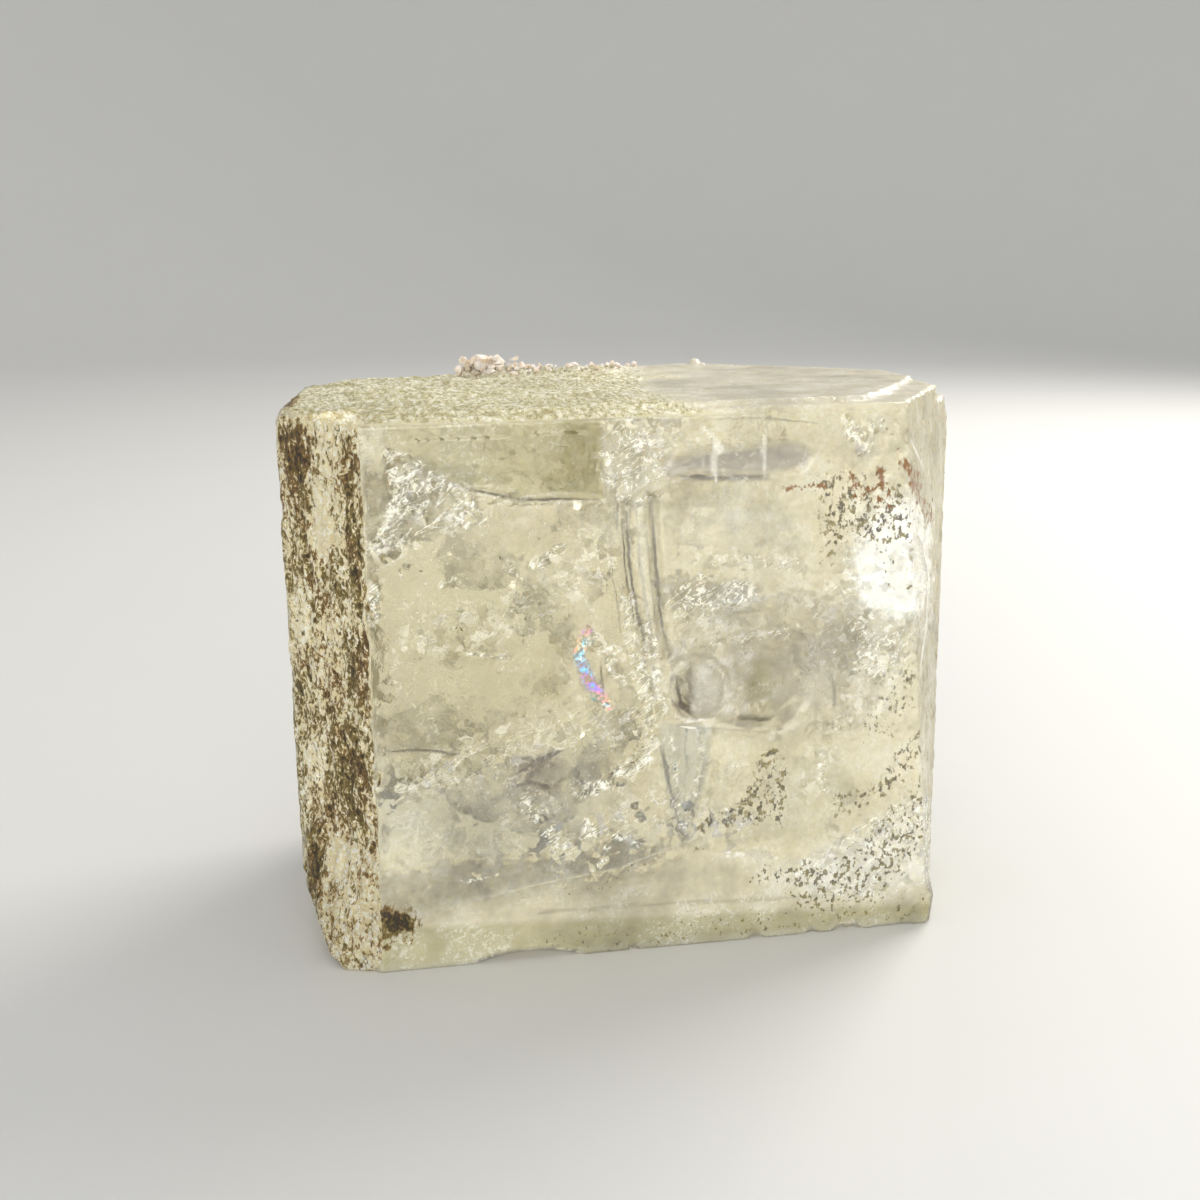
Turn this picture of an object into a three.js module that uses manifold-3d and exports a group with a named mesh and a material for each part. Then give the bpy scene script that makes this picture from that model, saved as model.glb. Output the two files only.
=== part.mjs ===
// A blocky adularia crystal: one feldspar crystal bounded by flat growth faces, with bevelled flanks,
// chipped edges, a thin growth layer on top, an etched and pitted left flank, a stepped back and small
// grains grown on its top rim. Millimetres, +Z up. The broad front face looks towards -Y and the crystal
// stands on its flat base.
import * as THREE from "three";
import { ConvexGeometry } from "three/addons/geometries/ConvexGeometry.js";
import { mergeVertices } from "three/addons/utils/BufferGeometryUtils.js";
import Module from "manifold-3d";

const wasm = await Module();
wasm.setup();

// Driving dimensions. The layout has the broad front face on y = 0 and the base on z = 0.
const HEIGHT = 25.5; // base to top face
const FRONT_LEFT = -10.3; // x of the front face's left edge
const FRONT_RIGHT_TOP = 13.9; // x of its right edge at the top
const FRONT_RIGHT_FOOT = 16.3; // x of its right edge at the base
const LEFT_EDGE_TOP = [-13.78, 5.75]; // plan of the outer upright edge on the left, at the top
const LEFT_EDGE_FOOT = [-13.54, 5.75]; // and at the base
const RIGHT_EDGE_TOP = [19.95, 9.3]; // plan of the outer upright edge on the right, at the top
const RIGHT_EDGE_FOOT = [19.75, 9.3]; // and at the base
const BACK_LEFT = [-9.2, 18.8]; // plan of the back face's left end
const BACK_RIGHT = [9.5, 20.3]; // plan of the back face's right end
const RIM_BEVEL = 0.3; // bevel along the top front edge
const LAYER = 0.7; // growth layer that stands on the top face
const LAYER_SLOPE = 0.45; // width of the layer's sloping edge
const RELIEF = 0.14; // depth of the low steps on the front face
const GRAIN = 0.95; // radius of the largest grain on the rim

// How many there are of each repeated mark.
const FLANK_PITS = 170;
const RIGHT_DIMPLES = 70;
const TOP_GROOVES = 9;
const TOP_LUMPS = 44;
const ROW_GRAINS = 15;
const BACK_GRAINS = 12;
const EDGE_CHIPS = 72;

const AXIS = [3, 9]; // plan of the upright line through the middle of the crystal
const CLEAR = 9; // how far outside the solid a ray starts
const DOWN = new THREE.Vector3(0, 0, -1);
const LEFT_FLANK_OUT = new THREE.Vector3(-0.861, -0.509, 0);

let seed = 11;
const random = () => THREE.MathUtils.seededRandom(seed++);
const between = (low, high) => low + (high - low) * random();
const vec = (x, y, z) => new THREE.Vector3(x, y, z);

// Solids.

function solidOf(geometry) {
  geometry.deleteAttribute("normal");
  geometry.deleteAttribute("uv");
  const merged = mergeVertices(geometry, 1e-4);
  return new wasm.Manifold(
    new wasm.Mesh({
      numProp: 3,
      vertProperties: new Float32Array(merged.attributes.position.array),
      triVerts: new Uint32Array(merged.index.array),
    }),
  );
}

const hullOf = (points) => solidOf(new ConvexGeometry(points));

// A flat-sided pebble: an octahedron or icosahedron stretched, turned and moved.
function pebble(centre, size, turn, detail = 0, sides = 8) {
  const Shape = sides === 8 ? THREE.OctahedronGeometry : THREE.IcosahedronGeometry;
  const geometry = new Shape(1, detail);
  const place = new THREE.Matrix4().compose(
    centre,
    new THREE.Quaternion().setFromEuler(turn),
    size,
  );
  return solidOf(geometry.applyMatrix4(place));
}

function block(low, high, turn) {
  const size = high.clone().sub(low);
  const geometry = new THREE.BoxGeometry(size.x, size.y, size.z);
  geometry.applyMatrix4(new THREE.Matrix4().makeRotationFromEuler(turn));
  const middle = low.clone().add(high).multiplyScalar(0.5);
  return solidOf(geometry.translate(middle.x, middle.y, middle.z));
}

const NO_TURN = new THREE.Euler();
const randomTurn = () => new THREE.Euler(between(0, 6), between(0, 6), between(0, 6));

// Growth faces. Each is a plane with its outward normal, given by points that it passes through.

const upright = (from, to) =>
  planeThrough(vec(...from, 0), vec(...to, 0), vec(...to, HEIGHT));

function planeThrough(a, b, c) {
  const middle = vec(...AXIS, HEIGHT / 2);
  const plane = new THREE.Plane().setFromCoplanarPoints(a, b, c);
  return plane.distanceToPoint(middle) > 0 ? plane.negate() : plane;
}

function growthFaces() {
  const leftBack = [-12.4, 14.5];
  const rightBack = [19.9, 12];
  const frontFoot = vec(FRONT_RIGHT_FOOT, 0, 0);
  const sideTop = vec(...RIGHT_EDGE_TOP, HEIGHT);
  const sideFoot = vec(...RIGHT_EDGE_FOOT, 0);
  const leftTop = vec(...LEFT_EDGE_TOP, HEIGHT);
  const leftFoot = vec(...LEFT_EDGE_FOOT, 0);
  return [
    upright([FRONT_LEFT, 0], [FRONT_RIGHT_TOP, 0]), // broad front
    planeThrough(leftTop, leftFoot, vec(FRONT_LEFT, 0, HEIGHT)), // left flank
    planeThrough(leftTop, leftFoot, vec(...leftBack, HEIGHT)),
    upright(leftBack, BACK_LEFT),
    upright(BACK_LEFT, BACK_RIGHT),
    upright(BACK_RIGHT, rightBack),
    planeThrough(sideTop, sideFoot, vec(...rightBack, HEIGHT)),
    planeThrough(vec(FRONT_RIGHT_TOP, 0, HEIGHT), frontFoot, sideTop), // right flank, upper half
    planeThrough(frontFoot, sideTop, sideFoot), // and lower half
    planeThrough(vec(0, 0, HEIGHT - 0.1), vec(8, 0, HEIGHT), vec(0, 19, HEIGHT)), // top
    planeThrough(
      vec(0, 0, HEIGHT - 0.1 - RIM_BEVEL),
      vec(9, 0, HEIGHT - RIM_BEVEL),
      vec(0, RIM_BEVEL * 1.6, HEIGHT),
    ), // top front rim
    planeThrough(
      vec(-10.5, 0, HEIGHT - 0.6),
      vec(-13.8, 5.7, HEIGHT - 0.6),
      vec(-13.2, 6, HEIGHT),
    ), // top left rim, front part
    planeThrough(
      vec(-13.8, 5, HEIGHT - 0.8),
      vec(-12.6, 14, HEIGHT - 0.6),
      vec(-13.25, 6, HEIGHT),
    ), // and back part
    planeThrough(vec(16, 0, 4.9), vec(-9, 0, 2.9), vec(0, 0.16, 0.9)), // low facet on the front
    planeThrough(vec(16.3, 0, 2.1), vec(-5, 0, 1.4), vec(6, 0.3, 0)), // bevel along the foot of the front
    planeThrough(vec(-13.4, 5.5, 2.8), vec(-13.4, 12, 2.4), vec(-12.3, 8, 0)), // foot of the left side
    planeThrough(vec(19.5, 12.5, 3.5), vec(12, 18.5, 2.5), vec(14.5, 15, 0)), // foot of the back
    new THREE.Plane(vec(0, 0, -1), 0), // base
  ];
}

// The corners of the solid that lies behind every plane.
function cornersOf(planes) {
  const corners = [];
  planes.forEach((a, i) =>
    planes.slice(i + 1).forEach((b, j) =>
      planes.slice(i + j + 2).forEach((c) => {
        const m = new THREE.Matrix3().set(
          ...a.normal.toArray(),
          ...b.normal.toArray(),
          ...c.normal.toArray(),
        );
        if (Math.abs(m.determinant()) < 1e-6) return;
        const p = vec(-a.constant, -b.constant, -c.constant).applyMatrix3(m.invert());
        if (planes.every((plane) => plane.distanceToPoint(p) < 1e-5)) corners.push(p);
      }),
    ),
  );
  return corners;
}

// Larger forms.

// The feet of both flanks stand out a little at the front corners.
function feet() {
  const left = hullOf([
    vec(-10.25, 0.02, 5.4),
    vec(-13.5, 5.4, 6.4),
    vec(-13.4, 4.8, 2.6),
    vec(-12.55, 1.5, 0.5),
    vec(-11.7, 0.75, 0),
    vec(-10, 0.35, 0),
    vec(-9.2, 0.03, 1.1),
    vec(-9, 3, 0),
    vec(-12.3, 4.5, 0),
    vec(-9, 3, 5),
  ]);
  const right = hullOf([
    vec(15.4, 0.35, 0),
    vec(16.45, 0.3, 0),
    vec(16.75, 0.75, 0.25),
    vec(16.8, 0.7, 1.3),
    vec(16.5, 0.14, 1.7),
    vec(15.2, 0.3, 1.5),
    vec(15.4, 3, 0),
    vec(15.4, 3, 1.7),
    vec(17.6, 3, 0),
    vec(17.6, 3, 1.3),
  ]);
  return [left, right];
}

// A low layer on the top face, whose right end stops short of the corner as a small step.
function growthLayer() {
  const outline = [
    [-11.3, 2.2],
    [-9.8, 0.85],
    [3.2, 0.75],
    [12.7, 0.95],
    [15.4, 4.4],
    [18.3, 9.2],
    [18.5, 12.2],
    [9.2, 19.5],
    [-8.9, 18.1],
    [-11.7, 14],
  ];
  const foot = outline.map(([x, y]) => vec(x, y, HEIGHT - LAYER));
  const rim = outline.map(([x, y]) => {
    const inward = vec(AXIS[0] - x, AXIS[1] - y, 0).setLength(LAYER_SLOPE);
    return vec(x, y, HEIGHT + LAYER * (0.1 + 0.022 * x)).add(inward);
  });
  return hullOf([...foot, ...rim]);
}

// Cleavage steps: the back broke in flat treads, each set in a little further than the one below.
function backSteps() {
  const treads = [
    { from: vec(-16, 18.6, 17.6), to: vec(-2.8, 26, 40), turn: 0.05 },
    { from: vec(-16, 17.9, 21.1), to: vec(1.3, 26, 40), turn: -0.03 },
    { from: vec(-16, 17.3, 23.3), to: vec(-5.4, 26, 40), turn: 0.04 },
    { from: vec(5.2, 19.3, -9), to: vec(14, 26, 13.4), turn: -0.06 },
    { from: vec(7.4, 18.8, -9), to: vec(14, 26, 8.6), turn: 0.05 },
    { from: vec(-16, 18.4, -9), to: vec(-5.9, 26, 5.2), turn: 0.1 },
    { from: vec(17.2, 12, 15.8), to: vec(26, 26, 40), turn: 0.7 },
    { from: vec(16.1, 13.9, 19.2), to: vec(26, 26, 40), turn: 0.66 },
  ];
  return treads.map(({ from, to, turn }) => {
    return block(from, to, new THREE.Euler(turn * 0.6, -turn * 0.4, turn));
  });
}

// Shallow shells scooped out of faces that broke.
function scoops() {
  const shell = (centre, size) => pebble(centre, size, new THREE.Euler(0.2, 0.3, 0.1), 3, 20);
  return [
    shell(vec(-4.5, 24.6, 8.5), vec(7.5, 6, 7.5)),
    shell(vec(24.4, 15.5, 16), vec(6.4, 5.8, 6.4)),
    shell(vec(-18.1, 11.5, 10.5), vec(5.6, 5, 5.6)),
    shell(vec(5.5, 20.5, 30.6), vec(6.2, 4.3, 6.2)),
  ];
}

// The stretch of the front foot that stands clear of the ground.
const raisedFoot = () => pebble(vec(-3.3, -0.6, -1.15), vec(4.3, 2.4, 1.75), NO_TURN, 2, 20);

// Named chips out of corners and edges.
function cornerChips() {
  const tilted = new THREE.Euler(0.04, -0.08, 0.12);
  return [
    block(vec(17.5, 5, HEIGHT - 0.4), vec(24, 16, HEIGHT + 3), tilted),
    hullOf(
      [6, 15].flatMap((y) => [
        vec(19, y, HEIGHT + 0.5),
        vec(19.35, y, HEIGHT - 0.65),
        vec(19.9, y, HEIGHT - 2.7),
        vec(23, y, HEIGHT - 2.7),
        vec(23, y, HEIGHT + 0.5),
      ]),
    ),
    pebble(vec(20.6, 9.1, 19.4), vec(0.8, 1.6, 0.35), new THREE.Euler(0.2, 0.3, 0)),
    pebble(vec(20.4, 9.2, 7.6), vec(0.75, 1.2, 0.5), new THREE.Euler(0.1, 0.2, 0)),
    pebble(vec(-14.2, 5.6, 18.9), vec(0.75, 1.3, 0.45), new THREE.Euler(0.1, -0.4, 0.2)),
    pebble(vec(-14.35, 5.6, 21.8), vec(0.75, 1.1, 1.9), new THREE.Euler(0.1, 0.1, 0.2)),
    pebble(vec(-14.3, 5.7, 12.4), vec(0.85, 1.1, 2.2), new THREE.Euler(0.1, 0.1, 0.2)),
    pebble(vec(17, -0.5, 2.15), vec(0.9, 0.8, 0.22), new THREE.Euler(0, 0.25, 0)),
    pebble(vec(-12.1, 0.9, 4.8), vec(0.5, 0.4, 1.9), new THREE.Euler(0.1, -0.15, 0)),
    pebble(vec(-10, -0.1, 9.6), vec(0.3, 0.35, 1.1), new THREE.Euler(0, 0.1, 0)),
    pebble(vec(-10.1, -0.1, 16.9), vec(0.35, 0.35, 0.8), new THREE.Euler(0, -0.1, 0)),
    pebble(vec(-9.4, -0.25, 1.9), vec(0.75, 0.55, 0.4), new THREE.Euler(0, 0.35, 0)),
  ];
}

// Small random chips along the long edges.
function edgeChips() {
  const edges = [
    [vec(-9.5, 0.1, HEIGHT), vec(13, 0.1, HEIGHT)],
    [vec(FRONT_RIGHT_TOP, 0, HEIGHT - 1), vec(FRONT_RIGHT_FOOT, 0, 3)],
    [vec(...RIGHT_EDGE_TOP, HEIGHT - 3), vec(...RIGHT_EDGE_FOOT, 2)],
    [vec(...LEFT_EDGE_TOP, HEIGHT - 1), vec(...LEFT_EDGE_FOOT, 5)],
    [vec(FRONT_LEFT, 0, HEIGHT - 1), vec(FRONT_LEFT, 0, 5)],
    [vec(-8, 0.2, 0), vec(15.5, 0.4, 0)],
    [vec(...BACK_LEFT, HEIGHT), vec(...BACK_RIGHT, HEIGHT)],
    [vec(...BACK_RIGHT, 2), vec(...BACK_RIGHT, HEIGHT)],
    [vec(...BACK_LEFT, 2), vec(...BACK_LEFT, HEIGHT - 6)],
  ];
  return Array.from({ length: EDGE_CHIPS }, (_, i) => {
    const [from, to] = edges[i % edges.length];
    const centre = from.clone().lerp(to, between(0.02, 0.98));
    const away = centre.clone().sub(vec(...AXIS, centre.z)).setLength(between(0.2, 0.35));
    const size = vec(between(0.3, 0.8), between(0.3, 0.7), between(0.3, 0.9));
    return pebble(centre.add(away), size, randomTurn());
  });
}

// Etching. Each mark sits on the skin of the solid, where a ray from outside meets it.

function skinOf(solid) {
  const skin = new THREE.Mesh(geometryOf(solid), new THREE.MeshBasicMaterial());
  const caster = new THREE.Raycaster();
  return (from, towards) => {
    caster.set(from, towards.clone().normalize());
    const [hit] = caster.intersectObject(skin);
    return { at: hit.point, out: hit.face.normal };
  };
}

// Upright pits over the left flank and down its foot, as rust and chlorite ate into it.
function flankPits(skin) {
  const inward = LEFT_FLANK_OUT.clone().negate();
  return Array.from({ length: FLANK_PITS }, () => {
    const across = between(0.05, 0.95);
    const x = THREE.MathUtils.lerp(FRONT_LEFT, LEFT_EDGE_TOP[0], across);
    const y = LEFT_EDGE_TOP[1] * across;
    const from = vec(x, y, between(1.2, HEIGHT - 1.4)).addScaledVector(LEFT_FLANK_OUT, CLEAR);
    const { at, out } = skin(from, inward);
    const size = vec(between(0.14, 0.34), between(0.14, 0.34), between(0.25, 0.8));
    const turn = new THREE.Euler(between(-0.3, 0.3), between(-0.3, 0.3), between(0, 3));
    return pebble(at.addScaledVector(out, between(0.02, 0.1)), size, turn);
  });
}

// Shallow dimples over the right flank and the part of the front beside it.
function rightDimples(skin) {
  return Array.from({ length: RIGHT_DIMPLES }, () => {
    const from = vec(between(11.6, 19.5), -CLEAR, between(1.5, HEIGHT - 1.5));
    const { at, out } = skin(from, vec(0, 1, 0));
    const size = vec(between(0.2, 0.45), between(0.14, 0.2), between(0.2, 0.6));
    const turn = new THREE.Euler(0, between(-0.4, 0.4), Math.atan2(out.x, -out.y));
    return pebble(at.addScaledVector(out, 0.05), size, turn);
  });
}

// Long fine grooves along the right half of the top layer.
function topGrooves() {
  return Array.from({ length: TOP_GROOVES }, (_, i) => {
    const centre = vec(between(5, 12), 1.6 + i * 1.15, HEIGHT + LAYER * 0.62);
    const size = vec(between(3, 6), between(0.16, 0.34), 0.3);
    return pebble(centre, size, new THREE.Euler(0, -0.015, between(-0.06, 0.08)));
  });
}

// Low lumps over the left half of the top.
function topLumps(skin) {
  return Array.from({ length: TOP_LUMPS }, () => {
    const from = vec(between(-10.5, 4.5), between(1.6, 16.5), HEIGHT + CLEAR);
    const { at } = skin(from, DOWN);
    const size = vec(between(0.3, 0.8), between(0.25, 0.6), between(0.1, 0.22));
    return pebble(at, size, new THREE.Euler(0, 0, between(0, 3)));
  });
}

// Low relief on the front: a tapering upright groove, a wedge and a ringed shell mark below it, and a
// sunk window at the upper left whose lower edge curves down to the right.
function frontRelief() {
  const groove = hullOf([
    vec(1.4, -0.3, 21.4),
    vec(2.5, -0.3, 21.4),
    vec(2.0, 0.22, 21.2),
    vec(2.6, -0.3, 12.8),
    vec(3.2, -0.3, 12.8),
    vec(2.95, 0.22, 12.9),
  ]);
  const wedge = hullOf([
    vec(3, -0.3, 10.7),
    vec(5.7, -0.3, 10.6),
    vec(4.3, -0.3, 5.2),
    vec(4.2, 0.2, 10),
    vec(4.3, 0.2, 6.8),
  ]);
  const shell = pebble(vec(4.5, -1.35, 12.5), vec(1.9, 1.55, 1.8), NO_TURN, 2, 20);
  const windowOutline = [
    [-8.1, 23.6],
    [-7.2, 22.6],
    [-6.1, 21.9],
    [-4, 21.5],
    [0.2, 21.4],
    [0.4, 24.6],
    [-8.2, 24.4],
  ];
  const sunkWindow = hullOf(
    windowOutline.flatMap(([x, z]) => [vec(x, -RELIEF, z), vec(x, RELIEF * (1 - x / 16), z)]),
  );
  return [groove, wedge, shell, sunkWindow];
}

// Grains grown on the back rim of the top: one pale lump of several, a row of small ones, a lone flake,
// and a few more down the back.
function rimGrains(skin) {
  const grains = [];
  const grow = (from, towards, r) => {
    const { at, out } = skin(from, towards);
    const size = vec(r * between(0.9, 1.15), r, r * between(0.75, 0.95));
    grains.push(pebble(at.addScaledVector(out, r * 0.35), size, randomTurn(), 0, 20));
  };
  const onTop = (x, y, r) => grow(vec(x, y, HEIGHT + CLEAR), DOWN, r);
  onTop(-3.05, 16.7, GRAIN);
  onTop(-2.35, 17, GRAIN * 0.8);
  onTop(-3.75, 16.6, GRAIN * 0.6);
  onTop(8.9, 18.4, GRAIN * 0.36);
  for (let i = 0; i < ROW_GRAINS; i++) {
    const along = i / ROW_GRAINS;
    const y = 17 + along * 1.1 + between(-0.4, 0.3);
    onTop(-1.6 + along * 6.8, y, between(0.34, 0.42) - along * 0.2);
  }
  const backwards = BACK_RIGHT[1] + CLEAR;
  for (let i = 0; i < BACK_GRAINS; i++) {
    const from = vec(between(-8, 10), backwards, between(2, HEIGHT - 2));
    grow(from, vec(0, -1, 0), between(0.35, 0.7));
  }
  return grains;
}

function crystalSolid() {
  let solid = hullOf(cornersOf(growthFaces()));
  const join = (pieces) => pieces.forEach((piece) => (solid = solid.add(piece)));
  const cut = (pieces) => pieces.forEach((piece) => (solid = solid.subtract(piece)));
  join([...feet(), growthLayer()]);
  cut([...backSteps(), ...scoops(), raisedFoot()]);
  cut([...cornerChips(), ...edgeChips(), ...frontRelief()]);
  join(topLumps(skinOf(solid)));
  cut([...topGrooves(), ...flankPits(skinOf(solid)), ...rightDimples(skinOf(solid))]);
  join(rimGrains(skinOf(solid)));
  return solid;
}

function geometryOf(solid) {
  const { vertProperties, triVerts } = solid.getMesh();
  const geometry = new THREE.BufferGeometry();
  geometry.setAttribute("position", new THREE.BufferAttribute(vertProperties, 3));
  geometry.setIndex(new THREE.BufferAttribute(triVerts, 1));
  return geometry;
}

// The origin goes to the middle of the solid's box in plan, on the base.
function meshOf(solid, name, material) {
  const geometry = geometryOf(solid);
  geometry.computeBoundingBox();
  const { min, max } = geometry.boundingBox;
  geometry.translate(-(min.x + max.x) / 2, -(min.y + max.y) / 2, -min.z);
  geometry.computeVertexNormals();
  const mesh = new THREE.Mesh(geometry, material);
  mesh.name = name;
  return mesh;
}

const feldspar = new THREE.MeshStandardMaterial({
  color: 0xd6d1b2,
  roughness: 0.25,
  metalness: 0,
});

const specimen = new THREE.Group();
specimen.add(meshOf(crystalSolid(), "adularia_crystal", feldspar));

export default specimen;
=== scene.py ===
"""Looks of a blocky adularia crystal: clear to milky pale yellow feldspar, veils and cracks inside it, a
brown-stained etched flank, dark specks beside the right edge and small pale grains grown on its top rim."""

import math
import random

import bmesh
import bpy
import numpy as np
from bpy.props import FloatProperty, FloatVectorProperty, IntProperty, PointerProperty
from mathutils import Euler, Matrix, Quaternion, Vector, noise


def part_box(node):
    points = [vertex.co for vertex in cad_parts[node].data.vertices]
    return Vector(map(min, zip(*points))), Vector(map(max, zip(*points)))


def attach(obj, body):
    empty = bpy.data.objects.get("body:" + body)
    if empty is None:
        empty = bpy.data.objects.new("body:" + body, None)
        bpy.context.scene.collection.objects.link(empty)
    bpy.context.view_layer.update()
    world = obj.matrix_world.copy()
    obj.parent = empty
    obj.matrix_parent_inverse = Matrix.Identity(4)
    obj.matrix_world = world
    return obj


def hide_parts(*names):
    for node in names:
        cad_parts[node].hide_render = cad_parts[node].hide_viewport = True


bl_info = {
    "name": "Adularia crystal",
    "version": (1, 0, 0),
    "blender": (4, 5, 0),
    "location": "3D View > Sidebar > Crystal",
    "description": "Dresses a blocky adularia crystal",
    "category": "Object",
}

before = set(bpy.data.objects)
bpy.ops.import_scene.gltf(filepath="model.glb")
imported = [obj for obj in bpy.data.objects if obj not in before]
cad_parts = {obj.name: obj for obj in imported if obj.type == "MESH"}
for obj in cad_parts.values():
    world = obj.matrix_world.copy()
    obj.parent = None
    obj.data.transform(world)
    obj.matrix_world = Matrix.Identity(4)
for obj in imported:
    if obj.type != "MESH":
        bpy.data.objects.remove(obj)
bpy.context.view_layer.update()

NODE = "adularia_crystal"
BODY = "root"

# The layout, in millimetres: the broad front face on y = 0, the base on z = 0, x to the right. Its origin
# is a point of the crystal's own box, and the rest of the script places everything by it.
MM = 0.001
LOW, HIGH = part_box(NODE)
LEFT_REACH = 13.77
ORIGIN = Vector((LOW.x + LEFT_REACH * MM, LOW.y, LOW.z))
HEIGHT = 25.5
FRONT_LEFT = -10.3
FRONT_RIGHT = 13.9
SPREAD_DOWN = 2.4
FLANK_OUT = Vector((-0.861, -0.509, 0))
RIGHT_OUT = Vector((0.83, -0.55, 0.08))
REFRACTION = 1.52
RIBBON_STEP = 0.22
CHUNK_POINTS = 11

# The view of the photograph, whose frame is 1200 pixels square.
FOCAL_PIXELS = 1500
FRAME_PIXELS = 1200
PITCH = math.radians(14)
YAW = math.radians(11)
EYE_AWAY = 64
EYE_HEIGHT = 33.1
EYE = Vector((-math.sin(YAW) * EYE_AWAY, -math.cos(YAW) * EYE_AWAY, EYE_HEIGHT))
FACING = Vector((math.sin(YAW) * math.cos(PITCH), math.cos(YAW) * math.cos(PITCH), -math.sin(PITCH)))
RIGHTWARD = Vector((math.cos(YAW), -math.sin(YAW), 0))
UPWARD = RIGHTWARD.cross(FACING)


def place(point):
    """A layout point in millimetres, in the frame's metres."""
    return ORIGIN + Vector(point) * MM


def sight(pixel):
    """The direction in which the photograph's camera sees a pixel."""
    u, v = pixel
    half = FRAME_PIXELS / 2
    return (FACING * FOCAL_PIXELS + RIGHTWARD * (u - half) + UPWARD * (half - v)).normalized()


def on_front(pixel):
    """The layout point of the front face that shows at a pixel of the photograph."""
    ray = sight(pixel)
    return EYE + ray * (-EYE.y / ray.y)


def inside(pixel, depth):
    """The layout point that shows at a pixel at a depth behind the front, bent as feldspar bends light."""
    ray = sight(pixel)
    bent = Vector((ray.x, 0, ray.z)) / REFRACTION
    bent.y = math.sqrt(1 - bent.length_squared)
    return on_front(pixel) + bent * (depth / bent.y)


def seen(points):
    """The pixels of the photograph at which an array of layout points shows."""
    offset = points - np.array(EYE)
    away = offset @ np.array(FACING)
    across = offset @ np.array(RIGHTWARD) / away
    up = offset @ np.array(UPWARD) / away
    return FRAME_PIXELS / 2 + FOCAL_PIXELS * np.stack([across, -up], axis=1)


# Shader maths.


class Value:
    """A number on its way through a shader: sums and products of it add Math nodes."""

    def __init__(self, shader, socket):
        self.shader = shader
        self.socket = socket

    def _math(self, operation, *operands, clamp=False):
        settings = {"operation": operation, "use_clamp": clamp}
        return self.shader.value("ShaderNodeMath", settings, dict(enumerate(operands)))

    def __add__(self, other):
        return self._math("ADD", self, other)

    def __radd__(self, other):
        return self._math("ADD", other, self)

    def __sub__(self, other):
        return self._math("SUBTRACT", self, other)

    def __rsub__(self, other):
        return self._math("SUBTRACT", other, self)

    def __mul__(self, other):
        return self._math("MULTIPLY", self, other)

    def __rmul__(self, other):
        return self._math("MULTIPLY", other, self)

    def __abs__(self):
        return self._math("ABSOLUTE", self)

    def clamp(self):
        return self._math("ADD", self, 0.0, clamp=True)

    def or_more(self, other):
        return self._math("MAXIMUM", self, other)

    def step(self, low, high):
        """A smooth rise from 0 at low to 1 at high, or a fall where low is the larger."""
        inputs = {"Value": self, "From Min": min(low, high), "From Max": max(low, high)}
        if low > high:
            inputs |= {"To Min": 1.0, "To Max": 0.0}
        return self.shader.value("ShaderNodeMapRange", {"interpolation_type": "SMOOTHSTEP"}, inputs)


def add_node(tree, kind, settings=None, inputs=None):
    """Adds a node: its settings first, then the values or links of its sockets."""
    node = tree.nodes.new(kind)
    for key, setting in (settings or {}).items():
        if key == "stops":
            set_stops(node.color_ramp, setting)
        else:
            setattr(node, key, setting)
    for key, given in (inputs or {}).items():
        source = given.socket if isinstance(given, Value) else given
        if isinstance(source, bpy.types.NodeSocket):
            tree.links.new(source, node.inputs[key])
        else:
            node.inputs[key].default_value = source
    return node


def set_stops(ramp, stops):
    while len(ramp.elements) < len(stops):
        ramp.elements.new(0.5)
    for element, (position, colour) in zip(ramp.elements, stops):
        element.position = position
        element.color = (*colour, 1)


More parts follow.
